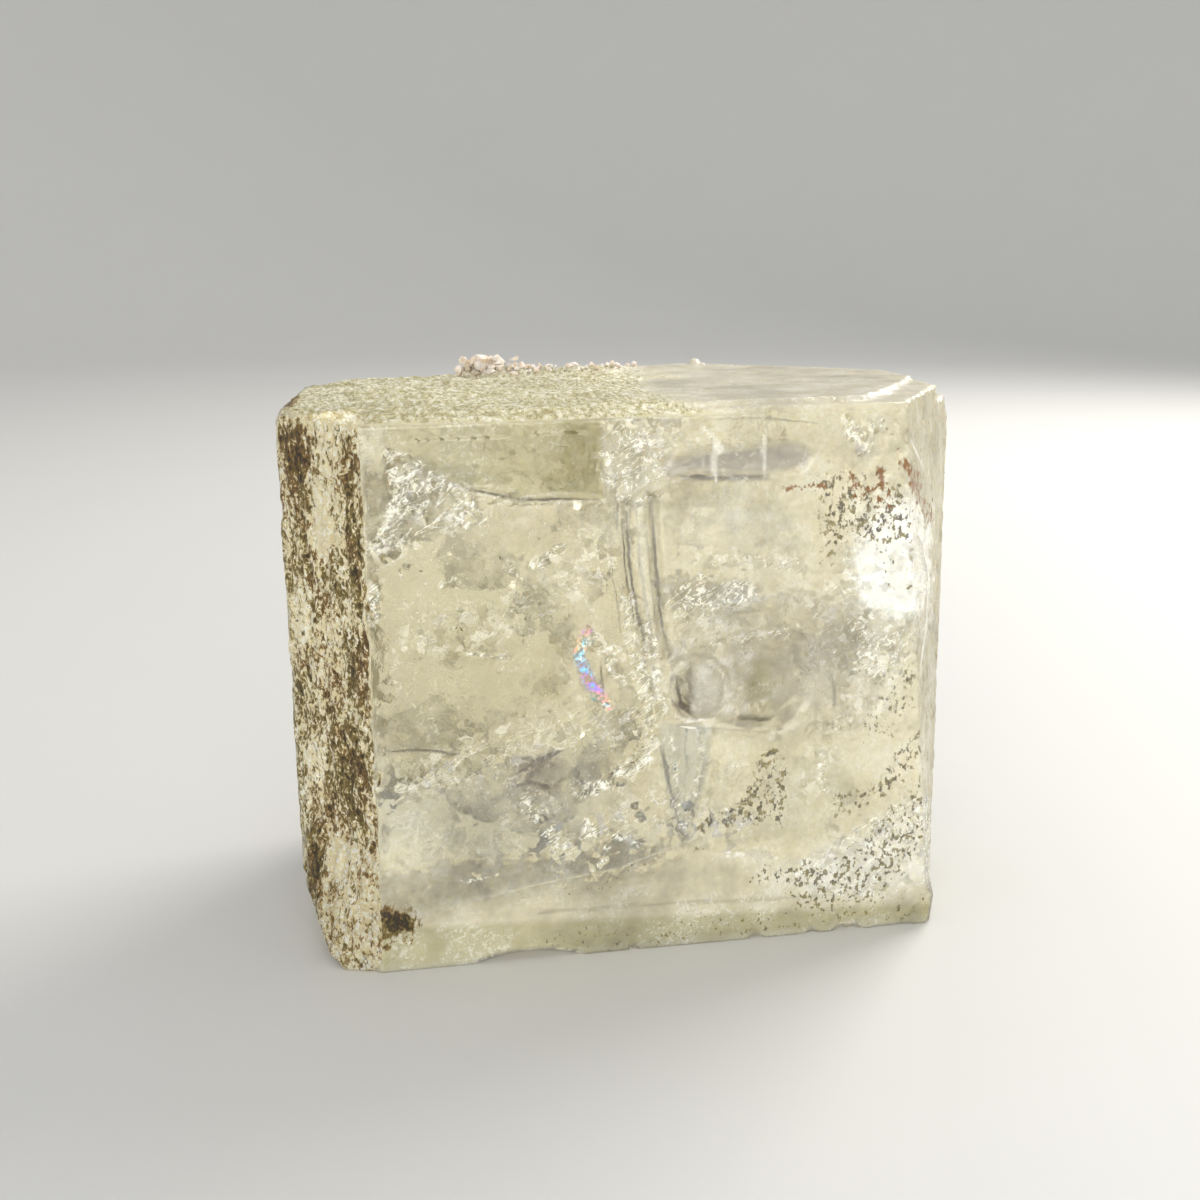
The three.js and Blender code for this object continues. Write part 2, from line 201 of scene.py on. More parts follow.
class Shader:
    """A material and the nodes that are added to it."""

    def __init__(self, name):
        self.material = bpy.data.materials.new(name)
        self.material.use_nodes = True
        self.tree = self.material.node_tree
        self.tree.nodes.clear()
        self.output = self.add("ShaderNodeOutputMaterial")
        layout = {
            "Vector": self.add("ShaderNodeTexCoord").outputs["Object"],
            "Location": tuple(-c / MM for c in ORIGIN),
            "Scale": (1 / MM,) * 3,
        }
        self.place = self.add("ShaderNodeMapping", {}, layout).outputs[0]
        self.z = self.value("ShaderNodeSeparateXYZ", {}, {"Vector": self.place}, "Z")

    def add(self, kind, settings=None, inputs=None):
        return add_node(self.tree, kind, settings, inputs)

    def value(self, kind, settings=None, inputs=None, output=0):
        return Value(self, self.add(kind, settings, inputs).outputs[output])

    def vector(self, operation, *operands):
        """A vector worked out from others."""
        inputs = dict(enumerate(operands))
        return self.add("ShaderNodeVectorMath", {"operation": operation}, inputs).outputs[0]

    def attribute(self, name):
        return self.value("ShaderNodeAttribute", {"attribute_name": name}, output="Fac")

    def stretched(self, scale, turn=(0, 0, 0)):
        """The layout coordinates, scaled by a number for each axis and turned."""
        inputs = {"Vector": self.place, "Scale": scale, "Rotation": turn}
        return self.add("ShaderNodeMapping", {}, inputs).outputs[0]

    def drawn_out(self, lengths, turn):
        """The layout coordinates, turned about the y axis and then drawn out by a length for each axis."""
        inputs = {"Vector": self.place, "Scale": lengths, "Rotation": (0, turn, 0)}
        return self.add("ShaderNodeMapping", {"vector_type": "TEXTURE"}, inputs).outputs[0]

    def noise(self, scale, detail=2.0, roughness=0.5, distortion=0.0, vector=None, shift=0.0):
        """Noise with its features about 1 / scale millimetres apart."""
        inputs = {
            "Vector": self.vector("ADD", vector or self.place, (shift * 13.1, shift * 7.3, shift * 5.9)),
            "Scale": scale,
            "Detail": detail,
            "Roughness": roughness,
            "Distortion": distortion,
        }
        return self.value("ShaderNodeTexNoise", {"noise_dimensions": "3D"}, inputs)

    def colour_noise(self, scale):
        """A vector that wanders over the surface, for warping a pattern."""
        inputs = {"Vector": self.place, "Scale": scale, "Detail": 2.0}
        return self.add("ShaderNodeTexNoise", {}, inputs).outputs["Color"]

    def ramp(self, share, *stops):
        """A colour that runs through (position, colour) stops."""
        return self.add("ShaderNodeValToRGB", {"stops": stops}, {"Fac": share}).outputs["Color"]

    def cells(self, scale, vector):
        """A colour for each cell, which also serves as the direction in which its facet leans."""
        inputs = {"Vector": vector, "Scale": scale}
        return self.add("ShaderNodeTexVoronoi", {"feature": "F1"}, inputs).outputs["Color"]

    def mix(self, share, first, second):
        """One colour blended into another."""
        first, second = (c if isinstance(c, bpy.types.NodeSocket) else (*c[:3], 1) for c in (first, second))
        inputs = {0: share, 6: first, 7: second}
        return self.add("ShaderNodeMix", {"data_type": "RGBA"}, inputs).outputs[2]

    def bump(self, height, distance, normal=None):
        """A surface normal bent by a height, whose 1 stands for a distance in millimetres."""
        inputs = {"Height": height, "Distance": distance * MM} | ({"Normal": normal} if normal else {})
        return self.add("ShaderNodeBump", {}, inputs).outputs[0]

    def principled(self, **inputs):
        names = {key.replace("_", " ").title().replace("Ior", "IOR"): v for key, v in inputs.items()}
        return self.add("ShaderNodeBsdfPrincipled", {}, names).outputs[0]

    def blend(self, share, first, second):
        return self.add("ShaderNodeMixShader", {}, {0: share, 1: first, 2: second}).outputs[0]

    def finish(self, surface, volume=None):
        self.tree.links.new(surface, self.output.inputs["Surface"])
        if volume is not None:
            self.tree.links.new(volume, self.output.inputs["Volume"])
        return self.material


def linear(red, green, blue):
    """A display colour from 0 to 255 as the linear colour that shaders take."""
    scaled = (c / 255 for c in (red, green, blue))
    return tuple(c / 12.92 if c <= 0.04045 else ((c + 0.055) / 1.055) ** 2.4 for c in scaled)


# The colours of a very thin crack, in the order in which they follow each other.
FILM_HUES = (
    (0.0, linear(255, 205, 140)),
    (0.2, linear(255, 165, 210)),
    (0.4, linear(170, 150, 255)),
    (0.6, linear(130, 225, 255)),
    (0.8, linear(240, 250, 240)),
    (1.0, linear(255, 205, 140)),
)


# Settings.


def number(name, description, default, **more):
    return FloatProperty(name=name, description=description, default=default, **more)


def colour(name, description, red, green, blue):
    tint = linear(red, green, blue)
    return FloatVectorProperty(
        name=name, description=description, default=tint, subtype="COLOR", size=3, min=0, max=1
    )


class CRYSTAL_PG_body(bpy.types.PropertyGroup):
    voxel: number("Voxel", "Size of the body's faces", 0.28 * MM, unit="LENGTH", precision=6)
    waviness: number("Waviness", "Height of the long swells on the faces in millimetres", 0.05, min=0)
    etching: number("Etching", "Depth of the etched left flank in millimetres", 0.34, min=0)
    milkiness: number("Milkiness", "How much milk the clear parts hold", 1.0, min=0, max=1)
    cream: colour("Cream", "Milky feldspar", 240, 230, 198)
    buff: colour("Buff", "Feldspar of the left flank", 226, 204, 140)
    # White is the veils' own colour and also the colour of painted glints and highlights.
    white: colour("White", "Veils and bright streaks", 253, 249, 234)
    green: colour("Green", "Greenish feldspar under the top", 178, 170, 118)
    grey: colour("Grey", "Cloudy grey patches", 184, 176, 160)
    blue: colour("Blue", "Bluish grey lenses", 180, 187, 182)
    plum: colour("Plum", "Purplish brown clouds", 152, 130, 122)
    smoke: colour("Smoke", "Dark lines and shadows of cracks", 112, 104, 82)
    tan: colour("Tan", "Rim of the stain", 186, 154, 86)
    brown: colour("Brown", "Iron stain on the left flank", 116, 90, 44)
    dark: colour("Dark", "Darkest stain", 50, 39, 20)
    olive: colour("Olive", "Chlorite stain", 124, 110, 52)
    rust: colour("Rust", "Rust streaks at the upper right", 140, 98, 58)


class CRYSTAL_PG_inner(bpy.types.PropertyGroup):
    thickness: number("Thickness", "Thickness of a crack inside the crystal in millimetres", 0.05, min=0.01)
    glints: IntProperty(name="Glints", description="Small bright cracks in the body", default=260, min=0)
    # The veil colour also whitens the bright line sheets, which partly stand for painted glints.
    veil: colour("Veil", "White veils", 244, 240, 226)
    smoke: colour("Smoke", "Grey cracks", 206, 200, 190)
    # The dark narrow cracks are painted shade, laid in as dark sheets.
    shade: colour("Shade", "Dark narrow cracks", 120, 112, 92)


class CRYSTAL_PG_grains(bpy.types.PropertyGroup):
    pale: colour("Pale", "Grains on the rim", 240, 226, 214)
    rim: IntProperty(name="Rim", description="Small grains along the rim", default=90, min=0)


class CRYSTAL_PG_stage(bpy.types.PropertyGroup):
    floor: colour("Floor", "Pale floor", 206, 205, 202)
    key: number("Key", "Power of the light behind on the right", 0.55)
    fill: number("Fill", "Power of the light in front", 0.8)
    top: number("Top", "Power of the light overhead", 0.1)
    sky: number("Sky", "Strength of the surrounding light", 0.79)


# Meshes.


def new_object(name, points, faces, smooth=False):
    """A mesh object whose vertices are layout points in millimetres."""
    mesh = bpy.data.meshes.new(name)
    mesh.from_pydata([place(p) for p in points], [], faces)
    mesh.update()
    mesh.polygons.foreach_set("use_smooth", [smooth] * len(mesh.polygons))
    piece = bpy.data.objects.new(name, mesh)
    bpy.context.scene.collection.objects.link(piece)
    return piece


def finish_piece(piece, material=None):
    if material:
        piece.data.materials.clear()
        piece.data.materials.append(material)
    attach(piece, BODY)
    return piece


def plain_copy(piece):
    """Turns what a piece's modifiers make into a plain mesh on the same piece."""
    bpy.context.view_layer.update()
    depsgraph = bpy.context.evaluated_depsgraph_get()
    made = bpy.data.meshes.new_from_object(piece.evaluated_get(depsgraph), depsgraph=depsgraph)
    made.name = piece.name
    old = piece.data
    piece.modifiers.clear()
    piece.data = made
    bpy.data.meshes.remove(old)
    return piece


def sheet(centre, normal, half_width, half_height, bulge, thickness, ragged, turn, ripple, seed,
          rings=8, spokes=36):
    """A crack: a thin closed lens, curved and ragged at its rim. Returns its points and faces."""
    normal = Vector(normal).normalized()
    across = normal.cross(Vector((0, 0, 1)))
    across = across.normalized() if across.length > 0.01 else Vector((1, 0, 0))
    across.rotate(Quaternion(normal, turn))
    up = normal.cross(across)
    points = []

    def point(reach, angle, side):
        rim = 1 + ragged * noise.noise(Vector((math.cos(angle) * 2.1, math.sin(angle) * 2.1, seed * 3.7)))
        rim += ragged * 0.5 * noise.noise(Vector((math.cos(angle) * 6, math.sin(angle) * 6, seed * 1.9)))
        a = reach * rim * math.cos(angle) * half_width
        b = reach * rim * math.sin(angle) * half_height
        lift = bulge * (1 - reach * reach) + side * thickness * 0.5 * (1 - reach**4)
        lift += ripple * noise.noise(Vector((a * 0.9, b * 0.9, seed * 5.3)))
        return centre + across * a + up * b + normal * lift

    for side in (1, -1):
        points.append(point(0, 0, side))
        for ring in range(1, rings):
            points += [point(ring / rings, 2 * math.pi * k / spokes, side) for k in range(spokes)]
    rim_start = len(points)
    points += [point(1, 2 * math.pi * k / spokes, 0) for k in range(spokes)]
    faces = []
    for side, start in ((0, 0), (1, 1 + (rings - 1) * spokes)):
        def index(ring, k, start=start):
            return rim_start + k % spokes if ring == rings else start + 1 + (ring - 1) * spokes + k % spokes
        for k in range(spokes):
            cap = [start, index(1, k), index(1, k + 1)]
            faces.append(cap[::-1] if side == 0 else cap)
            for ring in range(1, rings):
                quad = [index(ring, k), index(ring + 1, k), index(ring + 1, k + 1), index(ring, k + 1)]
                faces.append(quad[::-1] if side == 0 else quad)
    return points, faces


def ribbon(pixels, half_width, depth, seed, lean=0.4, thickness=0.04):
    """A narrow crack that follows a line of the photograph's pixels, tapering to its ends and closed."""
    draw = random.Random(seed)
    corners = [inside(p, depth) for p in pixels]
    spine = []
    for start, end in zip(corners, corners[1:]):
        steps = max(2, int((end - start).length / RIBBON_STEP))
        spine += [start.lerp(end, k / steps) for k in range(steps)]
    spine.append(corners[-1])
    points, faces = [spine[0]], []
    inner = spine[1:-1]
    for k, centre in enumerate(inner):
        run = (spine[k + 2] - spine[k]).normalized()
        across = run.cross(Vector((0, 1, 0))).normalized()
        share = min(1.0, 4 * (k + 1) / len(spine), 4 * (len(spine) - k - 1) / len(spine))
        half = half_width * share * draw.uniform(0.65, 1.2)
        tilt = Vector((0, lean * half, 0))
        shift = across * draw.uniform(-0.3, 0.3) * half_width
        back = Vector((0, thickness / 2, 0))
        sides = (-across * half - tilt, -back, across * half + tilt, back)
        points += [centre + shift + side for side in sides]
    points.append(spine[-1])
    last = len(points) - 1
    for k in range(4):
        n = (k + 1) % 4
        faces.append([0, 1 + k, 1 + n])
        for ring in range(len(inner) - 1):
            a, b = 1 + 4 * ring, 5 + 4 * ring
            faces.append([a + k, b + k, b + n, a + n])
        faces.append([last, last - 4 + n, last - 4 + k])
    return points, faces


def joined(parts):
    """Several sets of points and faces as one."""
    points, faces = [], []
    for more_points, more_faces in parts:
        shift = len(points)
        points += more_points
        faces += [[i + shift for i in face] for face in more_faces]
    return points, faces


def chunk(centre, size, draw):
    """An angular grain: the convex hull of points spread about a centre. Returns its points and faces."""
    work = bmesh.new()
    for _ in range(CHUNK_POINTS):
        away = Vector((draw.gauss(0, 1), draw.gauss(0, 1), draw.gauss(0, 0.8))).normalized()
        work.verts.new(Vector(centre) + away * size * draw.uniform(0.7, 1.05))
    hull = bmesh.ops.convex_hull(work, input=work.verts)
    loose = [g for g in hull["geom_interior"] if isinstance(g, bmesh.types.BMVert)]
    bmesh.ops.delete(work, geom=loose, context="VERTS")
    bmesh.ops.recalc_face_normals(work, faces=work.faces)
    work.verts.index_update()
    points = [v.co.copy() for v in work.verts]
    faces = [[v.index for v in face.verts] for face in work.faces]
    work.free()
    return points, faces


def keep_inside(piece):
    """Holds a piece's vertices within the crystal's own box."""
    for vertex in piece.data.vertices:
        vertex.co = [min(max(c, low), high) for c, low, high in zip(vertex.co, LOW, HIGH)]


def point_outwards(piece):
    work = bmesh.new()
    work.from_mesh(piece.data)
    bmesh.ops.recalc_face_normals(work, faces=work.faces)
    work.to_mesh(piece.data)
    work.free()


# Materials.


def feldspar_material(settings):
    """Clear feldspar blended with milk, stains and specks, each where the crystal has it, and with painted
    glints, highlights and shade.
    """
    s = Shader("feldspar")
    flank, top, foot, right = (s.attribute(name) for name in ("flank", "top", "foot", "right"))
    clouds = s.noise(0.42, 3, 0.6)
    upright = s.noise(2.2, 3, 0.6, 0.0, s.stretched((1, 1, 0.16)), 3.0)
    fine = s.noise(3.0, 3, 0.62, shift=7.7)
    grain = s.noise(7.5, 2, 0.65, shift=1.3)
    warped = s.vector("MULTIPLY_ADD", s.colour_noise(1.6), (0.9, 0.9, 0.9), s.place)
    chips = Value(s, s.cells(6.5, warped))
    # The bright marks hold the white veils and painted glints: threads and clumps are veils, sparks and small
    # flecks are painted glints.
    veil = s.attribute("bright")
    leaning = s.noise(1.5, 3, 0.6, 0.7, s.drawn_out((2.6, 1, 0.8), -0.6), 8.0)
    threads = abs(leaning - 0.5).step(0.03, 0.004)
    clumps = (leaning * 0.7 + fine * 0.4).step(0.5, 0.66)
    sparks = (chips * 0.7 + fine * 0.4).step(0.61, 0.69) * (0.25 + clumps * 0.75)
    bright = threads * veil.step(0.05, 0.5) * 0.7 + sparks * veil.step(0.1, 0.6) * 0.7
    bright = (bright + veil * clumps * 0.75).clamp()
    bright = bright.or_more(threads * clouds.step(0.47, 0.59) * 0.28)
    bright = bright.or_more((chips * 0.75 + grain * 0.4).step(0.74, 0.79) * clouds.step(0.46, 0.56) * 0.5)
    # The pale marks are painted highlights: lit lines and sides, a painted highlight spot and a painted
    # sheen.
    bright = bright.or_more(s.attribute("pale") * (0.3 + fine * 1.1))
    rough_share = (flank * 0.9 + top * s.attribute("green") * 1.1 + foot * 0.5 + right * 0.5).clamp()

    # The feldspar's own colour, with painted glints, highlights and shade laid into it.
    body = s.mix((clouds * 0.9 + upright * 0.2).step(0.5, 0.75) * 0.4, settings.cream, settings.white)
    body = s.mix((clouds * 0.9 + upright * 0.2).step(0.54, 0.36) * 0.3, body, settings.grey)
    for name, least, more in (("grey", 0.4, 1.1), ("blue", 0.5, 1.0)):
        body = s.mix((s.attribute(name) * (least + fine * more)).clamp(), body, getattr(settings, name))
    veins = s.noise(1.1, 4, 0.65, 1.0, s.stretched((1, 1, 0.6), (0, 0.5, 0)), 6.0)
    feathers = abs(veins - 0.5).step(0.022, 0.0) * clouds.step(0.42, 0.52)
    body = s.mix(feathers * 0.55, body, settings.white)
    body = s.mix(abs(veins - 0.57).step(0.02, 0.0) * clouds.step(0.48, 0.6) * 0.3, body, settings.smoke)
    granular = (top * s.attribute("green") + (clouds - 0.5) * 0.6).step(0.15, 0.5)
    seeds = s.noise(4.2, 3, 0.72, 0.0, s.stretched((1, 0.4, 1)), 9.0)
    body = s.mix((s.attribute("green") * (0.55 + fine * 0.8)).clamp(), body, settings.green)
    body = s.mix(granular * seeds.step(0.5, 0.58) * 0.6, body, settings.olive)
    # The pale seeds on the top's granular part are painted glints.
    body = s.mix(granular * seeds.step(0.47, 0.40) * 0.6, body, settings.white)
    # Plum clouds are the crystal's own colour; the dark marks are painted shade along cracks, the ridge and
    # the ring.
    for name, more, tone in (("plum", 1.2, settings.plum), ("dark", 1.1, settings.smoke)):
        body = s.mix((s.attribute(name) * (0.4 + fine * more)).clamp(), body, tone)
    # White where the veils lie and where glints and highlights are painted.
    body = s.mix(bright * 0.9, body, settings.white)
    body = s.mix(flank * (grain * 1.8 - 0.45).clamp(), body, settings.buff)

    # Stains on the left flank: upright streaks and specks with a cream network between them.
    streaks = s.noise(2.35, 5, 0.76, 0.8, s.stretched((1, 1, 0.6)), 2.0)
    specks = s.noise(5.2, 3, 0.65, 0.5, s.stretched((1, 1, 0.75)), 5.0)
    depth = s.attribute("stain") * 0.2 + streaks * 0.62 + specks * 0.42
    stained = depth.step(0.57, 0.63) * s.attribute("stain").step(0.02, 0.12)
    body = s.mix(flank * (chips * 0.7 + fine * 0.3).step(0.52, 0.6) * 0.75, body, settings.cream)
    # White flecks on the flank are painted glints.
    body = s.mix(flank * (chips * 0.6 + grain * 0.45).step(0.6, 0.66) * 0.75, body, settings.white)
    darkest = (0.73, settings.dark)
    tones = s.ramp(depth, (0.585, settings.tan), (0.635, settings.brown), (0.675, settings.brown), darkest)
    tones = s.mix(clouds.step(0.42, 0.55) * 0.7, tones, s.ramp(depth, (0.64, settings.olive), darkest))

    # Specks on the front and the right, and rust streaks at the upper right.
    crumbs = s.noise(4.9, 2, 0.6, 0.0, s.stretched((1, 1, 0.75)), 4.4)
    pepper = (crumbs * 0.75 + s.attribute("pepper") * 0.17 + fine * 0.25).step(0.655, 0.72)
    pepper = pepper * s.attribute("pepper").step(0.05, 0.3)
    rust = (s.attribute("rust") * 0.34 + crumbs * 0.95).step(0.68, 0.82) * s.attribute("rust").step(0.05, 0.3)

    colours = s.mix(stained, body, tones)
    colours = s.mix(pepper * 0.86, colours, s.mix(fine.step(0.45, 0.6), settings.dark, settings.olive))
    colours = s.mix(rust, colours, settings.rust)
    film = s.attribute("film") * (grain * 0.9 + fine * 0.4).step(0.58, 0.68)
    phase = s.value("ShaderNodeMath", {"operation": "FRACT"}, {0: s.z * 0.34 + fine * 1.6})
    colours = s.mix(film, colours, s.ramp(phase, *FILM_HUES))
    marked = stained.or_more(pepper).or_more(rust * 0.9).or_more(film)
    cover = s.attribute("milk") + (clouds - 0.5) * 0.4 + (fine - 0.5) * 0.25 - (1 - settings.milkiness) * 0.2
    cover = cover.clamp().or_more(marked).or_more(bright * 0.9)

    # Relief finer than the mesh.
    height = grain * (rough_share + 0.08) * 0.8 + fine * (rough_share + 0.2)
    leans = s.vector("SUBTRACT", s.cells(2.4, warped), (0.5,) * 3)
    tilts = s.vector("MULTIPLY", leans, veil.step(0.0, 0.5) * 0.9 + 0.12)
    faceted = s.vector("NORMALIZE", s.vector("ADD", tilts, s.add("ShaderNodeNewGeometry").outputs["Normal"]))
    normal = s.bump(height, 0.1, faceted)
    clear = s.principled(
        base_color=(*linear(251, 248, 232), 1),
        roughness=(0.06 + rough_share * 0.25 + (fine - 0.5) * 0.1).clamp(),
        ior=REFRACTION,
        transmission_weight=1.0,
        normal=normal,
    )
    milky = s.principled(
        base_color=colours,
        roughness=(0.36 + rough_share * 0.3 + (fine - 0.5) * 0.3).clamp(),
        ior=REFRACTION,
        subsurface_weight=0.5,
        subsurface_radius=(1.0, 0.86, 0.55),
        subsurface_scale=1.6 * MM,
        normal=normal,
    )
    tint = {"Color": (*linear(240, 232, 190), 1), "Density": 38.0}
    absorption = s.add("ShaderNodeVolumeAbsorption", {}, tint)
    return s.finish(s.blend(cover, clear, milky), absorption.outputs[0])


def flake_material(name, tint, roughness, metallic):
    """A crack's bright facet, white to silvery."""
    s = Shader(name)
    mottle = s.noise(1.5, 2, 0.5)
    tone = s.mix(mottle.step(0.35, 0.65), tint, tuple(c * 0.82 for c in tint))
    surface = s.principled(
        base_color=tone,
        metallic=metallic,
        roughness=(roughness + (mottle - 0.5) * 0.2).clamp(),
    )
    return s.finish(surface)


def crack_material(name, tint, opacity, roughness, scale, metallic=0.0, seed=0.0):
    """A crack inside the crystal: a film that shows in streaks and is gone between them."""
    s = Shader(name)
    streaks = s.noise(scale, 6, 0.65, 1.0, shift=seed)
    patches = s.noise(scale * 0.3, 3, 0.5, shift=seed + 2.0)
    film = (streaks * 0.7 + patches * 0.5).step(0.5, 0.78) * opacity
    surface = s.principled(
        base_color=s.mix(patches, tint, tuple(c * 0.8 for c in tint)),
        metallic=metallic,
        roughness=(roughness + (streaks - 0.5) * 0.2).clamp(),
        alpha=film.clamp(),
    )
    return s.finish(surface)


def rainbow_material():
    """A crack so thin that it shows the colours of an oil film, in bands across it."""
    s = Shader("rainbow crack")
    phase = s.noise(1.5, 2, 0.5, 0.0, shift=2.0) * 0.8 + s.z * 0.42
    cycle = s.value("ShaderNodeMath", {"operation": "FRACT"}, {0: phase})
    hues = s.ramp(cycle, *FILM_HUES)
    film = s.noise(2.4, 3, 0.6, 0.3, shift=5.0).step(0.3, 0.42)
    surface = s.principled(base_color=hues, metallic=0.2, roughness=0.2, alpha=film)
    return s.finish(surface)


def grain_material(settings):
    s = Shader("pale grains")
    mottle = s.noise(2.2, 5, 0.65, shift=1.0)
    tone = s.mix(mottle.step(0.4, 0.65), settings.pale, linear(206, 186, 160))
    surface = s.principled(
        base_color=tone,
        roughness=(0.5 + (mottle - 0.5) * 0.3).clamp(),
        subsurface_weight=0.4,
        subsurface_radius=(1.0, 0.8, 0.6),
        subsurface_scale=0.4 * MM,
        normal=s.bump(s.noise(5.0, 4, 0.6), 0.06),
    )
    return s.finish(surface)


# The body.


def smooth_share(values, low, high):
    t = np.clip((values - low) / (high - low), 0, 1)
    return t * t * (3 - 2 * t)


def sampled(points, scale, octaves, seed, where=None):
    """Fractal noise at each point, about -1 to 1, at one scale or at one for each axis."""
    shift = Vector((seed * 7.1, seed * 3.3, seed * 5.7))
    made = np.zeros(len(points))
    wanted = np.arange(len(points)) if where is None else np.nonzero(where > 0.01)[0]
    scaled = points[wanted] * np.array(scale)
    made[wanted] = [noise.fractal(Vector(p) + shift, 0.9, 2.0, octaves) for p in scaled]
    return made


def oval(pixels, centre, radii, turn, soft):
    """1 inside an oval of pixels, fading to 0 over its soft rim."""
    c, s = math.cos(math.radians(turn)), math.sin(math.radians(turn))
    dx, dy = (pixels - np.array(centre)).T
    reach = np.hypot((dx * c + dy * s) / radii[0], (dy * c - dx * s) / radii[1])
    return 1 - smooth_share(reach, 1 - soft, 1 + soft)


def off_line(pixels, corners, closed=False):
    """The distance in pixels of each point from a bent line."""
    x, y = pixels.T
    nearest = np.full(len(x), 1e9)
    ends = corners[1:] + corners[:1] if closed else corners[1:]
    for (x0, y0), (x1, y1) in zip(corners, ends):
        ex, ey = x1 - x0, y1 - y0
        t = np.clip(((x - x0) * ex + (y - y0) * ey) / (ex * ex + ey * ey), 0, 1)
        nearest = np.minimum(nearest, np.hypot(x - x0 - t * ex, y - y0 - t * ey))
    return nearest


def line(pixels, corners, width, soft=0.6):
    """1 on a bent line, fading to 0 at its half width."""
    return 1 - smooth_share(off_line(pixels, corners), width * (1 - soft), width)


def strokes(pixels, rows, soft=0.6):
    """The strongest of several bent lines."""
    return np.maximum.reduce([line(pixels, corners, width, soft) * share for corners, width, share in rows])


def spots(pixels, rows):
    """The strongest of several ovals."""
    return np.maximum.reduce([oval(pixels, *shape) * share for *shape, share in rows])


def area(pixels, corners, soft):
    """1 inside a closed outline and 0 outside, smooth over a few pixels."""
    x, y = pixels.T
    within = np.zeros(len(x), bool)
    for (x0, y0), (x1, y1) in zip(corners, corners[1:] + corners[:1]):
        if y0 != y1:
            within ^= ((y0 > y) != (y1 > y)) & (x < (x1 - x0) * (y - y0) / (y1 - y0) + x0)
    nearest = off_line(pixels, corners, closed=True)
    return smooth_share(np.where(within, nearest, -nearest), -soft, soft)


WINDOW = [(392, 370), (384, 440), (394, 456), (430, 474), (470, 489), (520, 499), (602, 500), (601, 370)]
VEIL = [(384, 452), (408, 455), (440, 476), (472, 492), (487, 524), (455, 528), (436, 526), (410, 546),
        (386, 562), (370, 546), (384, 520), (390, 490)]
BAR = [(655, 470), (672, 461), (700, 453), (740, 450), (765, 446), (790, 443), (807, 446), (813, 456),
       (806, 467), (790, 471), (765, 474), (716, 474), (690, 472), (670, 478)]
SECOND_BAR = [(674, 477), (720, 478), (766, 477)]
WEDGE = [(660, 722), (712, 728), (711, 760), (701, 800), (684, 843), (668, 800), (661, 760)]
SHELL = [(672, 640), (690, 606), (735, 588), (800, 590), (850, 602), (882, 640), (884, 700), (850, 735),
         (790, 742), (720, 740), (690, 725), (668, 690)]
LENS = [(376, 770), (470, 765), (520, 748), (600, 742), (606, 790), (560, 850), (480, 852), (380, 838)]
# A painted silvery sheen at the lower right, and a wide field of painted light below the bar.
SHEEN = [(770, 880), (830, 850), (900, 800), (938, 800), (935, 885), (860, 898)]
BRIGHT_FIELD = [(640, 505), (660, 505), (800, 500), (815, 580), (700, 580), (664, 600)]
UPPER_SPECKS = [(816, 478), (850, 470), (905, 480), (930, 530), (900, 545), (850, 540), (825, 560)]
MIDDLE_SPECKS = [(764, 745), (784, 755), (788, 800), (786, 828), (742, 822), (690, 836), (700, 822),
                 (742, 800)]
LOWER_SPECKS = [(735, 885), (760, 868), (830, 862), (815, 885)]
STAIN_EYE = [(382, 915), (392, 905), (408, 918), (412, 928), (396, 936), (384, 930)]
# The ridge and the ring are carved and also painted: shade in the ridge's grooves and on the ring's left
# half, light between the grooves and on the ring's right half and rim.
RIDGE_LEFT = [(627, 503), (629, 560), (639, 620), (648, 652)]
RIDGE_GAP = [(640, 503), (644, 570), (653, 640), (657, 700)]
RIDGE_RIGHT = [(654, 500), (656, 560), (662, 620), (669, 655)]
LOW_EDGE = [(380, 928), (450, 906), (540, 884), (620, 868), (685, 842), (760, 838), (930, 832)]
RING = (697, 690)
RING_CRACK = [(700, 652), (716, 660), (734, 668)]
SHELL_CENTRE = (745, 690)
WEDGE_MIDDLE = [(687, 728), (685, 842)]
# Painted light: a small patch of painted highlight, painted light along the right edge, and painted glints at
# the foot, the left and the top.
BRIGHT_CHIP = [(713, 430), (722, 444), (729, 452), (717, 457), (711, 442)]
PALE_EDGE = [(940, 420), (944, 600), (940, 860)]
FOOT_GLINT = [(722, 856), (745, 853), (775, 857)]
LEFT_GLINT = [(466, 654), (490, 657), (508, 658)]
TOP_GLINT = [(848, 418), (862, 452), (880, 420)]
FINE_RUST = [(883, 415), (896, 440), (908, 464)]
LEVEL_RUST = [(784, 489), (824, 486)]
LENS_RIM = [(376, 752), (430, 750), (476, 757), (520, 775)]
RAINBOW = [(587, 633), (579, 655), (589, 681), (608, 706)]

# Single ovals: centre, radii and turn.
LUMP = ((635, 461), (36, 46), 0)
# A small painted shade beside the lump.
LUMP_NICK = ((660, 445), (5, 2), 10)
# A painted highlight: the bright spot near the right edge.
GLOW = ((902, 562), (42, 56), 10)
GLOW_SPECKS = ((905, 560), (32, 50), 0)
# A painted glint.
SPARK = ((726, 811), (4, 4), 0)
CORNER_SPECK = ((386, 446), (7, 5), 0)
CORNER_STAIN = ((290, 397), (7, 10), 20)
SEEP = ((376, 932), (34, 22), -20)
GREY_HAZE = ((745, 570), (90, 40), 0)
BLUE_GLEAM = ((735, 597), (22, 14), 0)

# The pixel columns or rows between which a mark goes from 0 to 1.
WINDOW_COLUMNS = (470, 600)
WINDOW_ROWS = (410, 500)
LOW_LEFT_COLUMNS = (640, 520)
LOW_LEFT_ROWS = (780, 900)

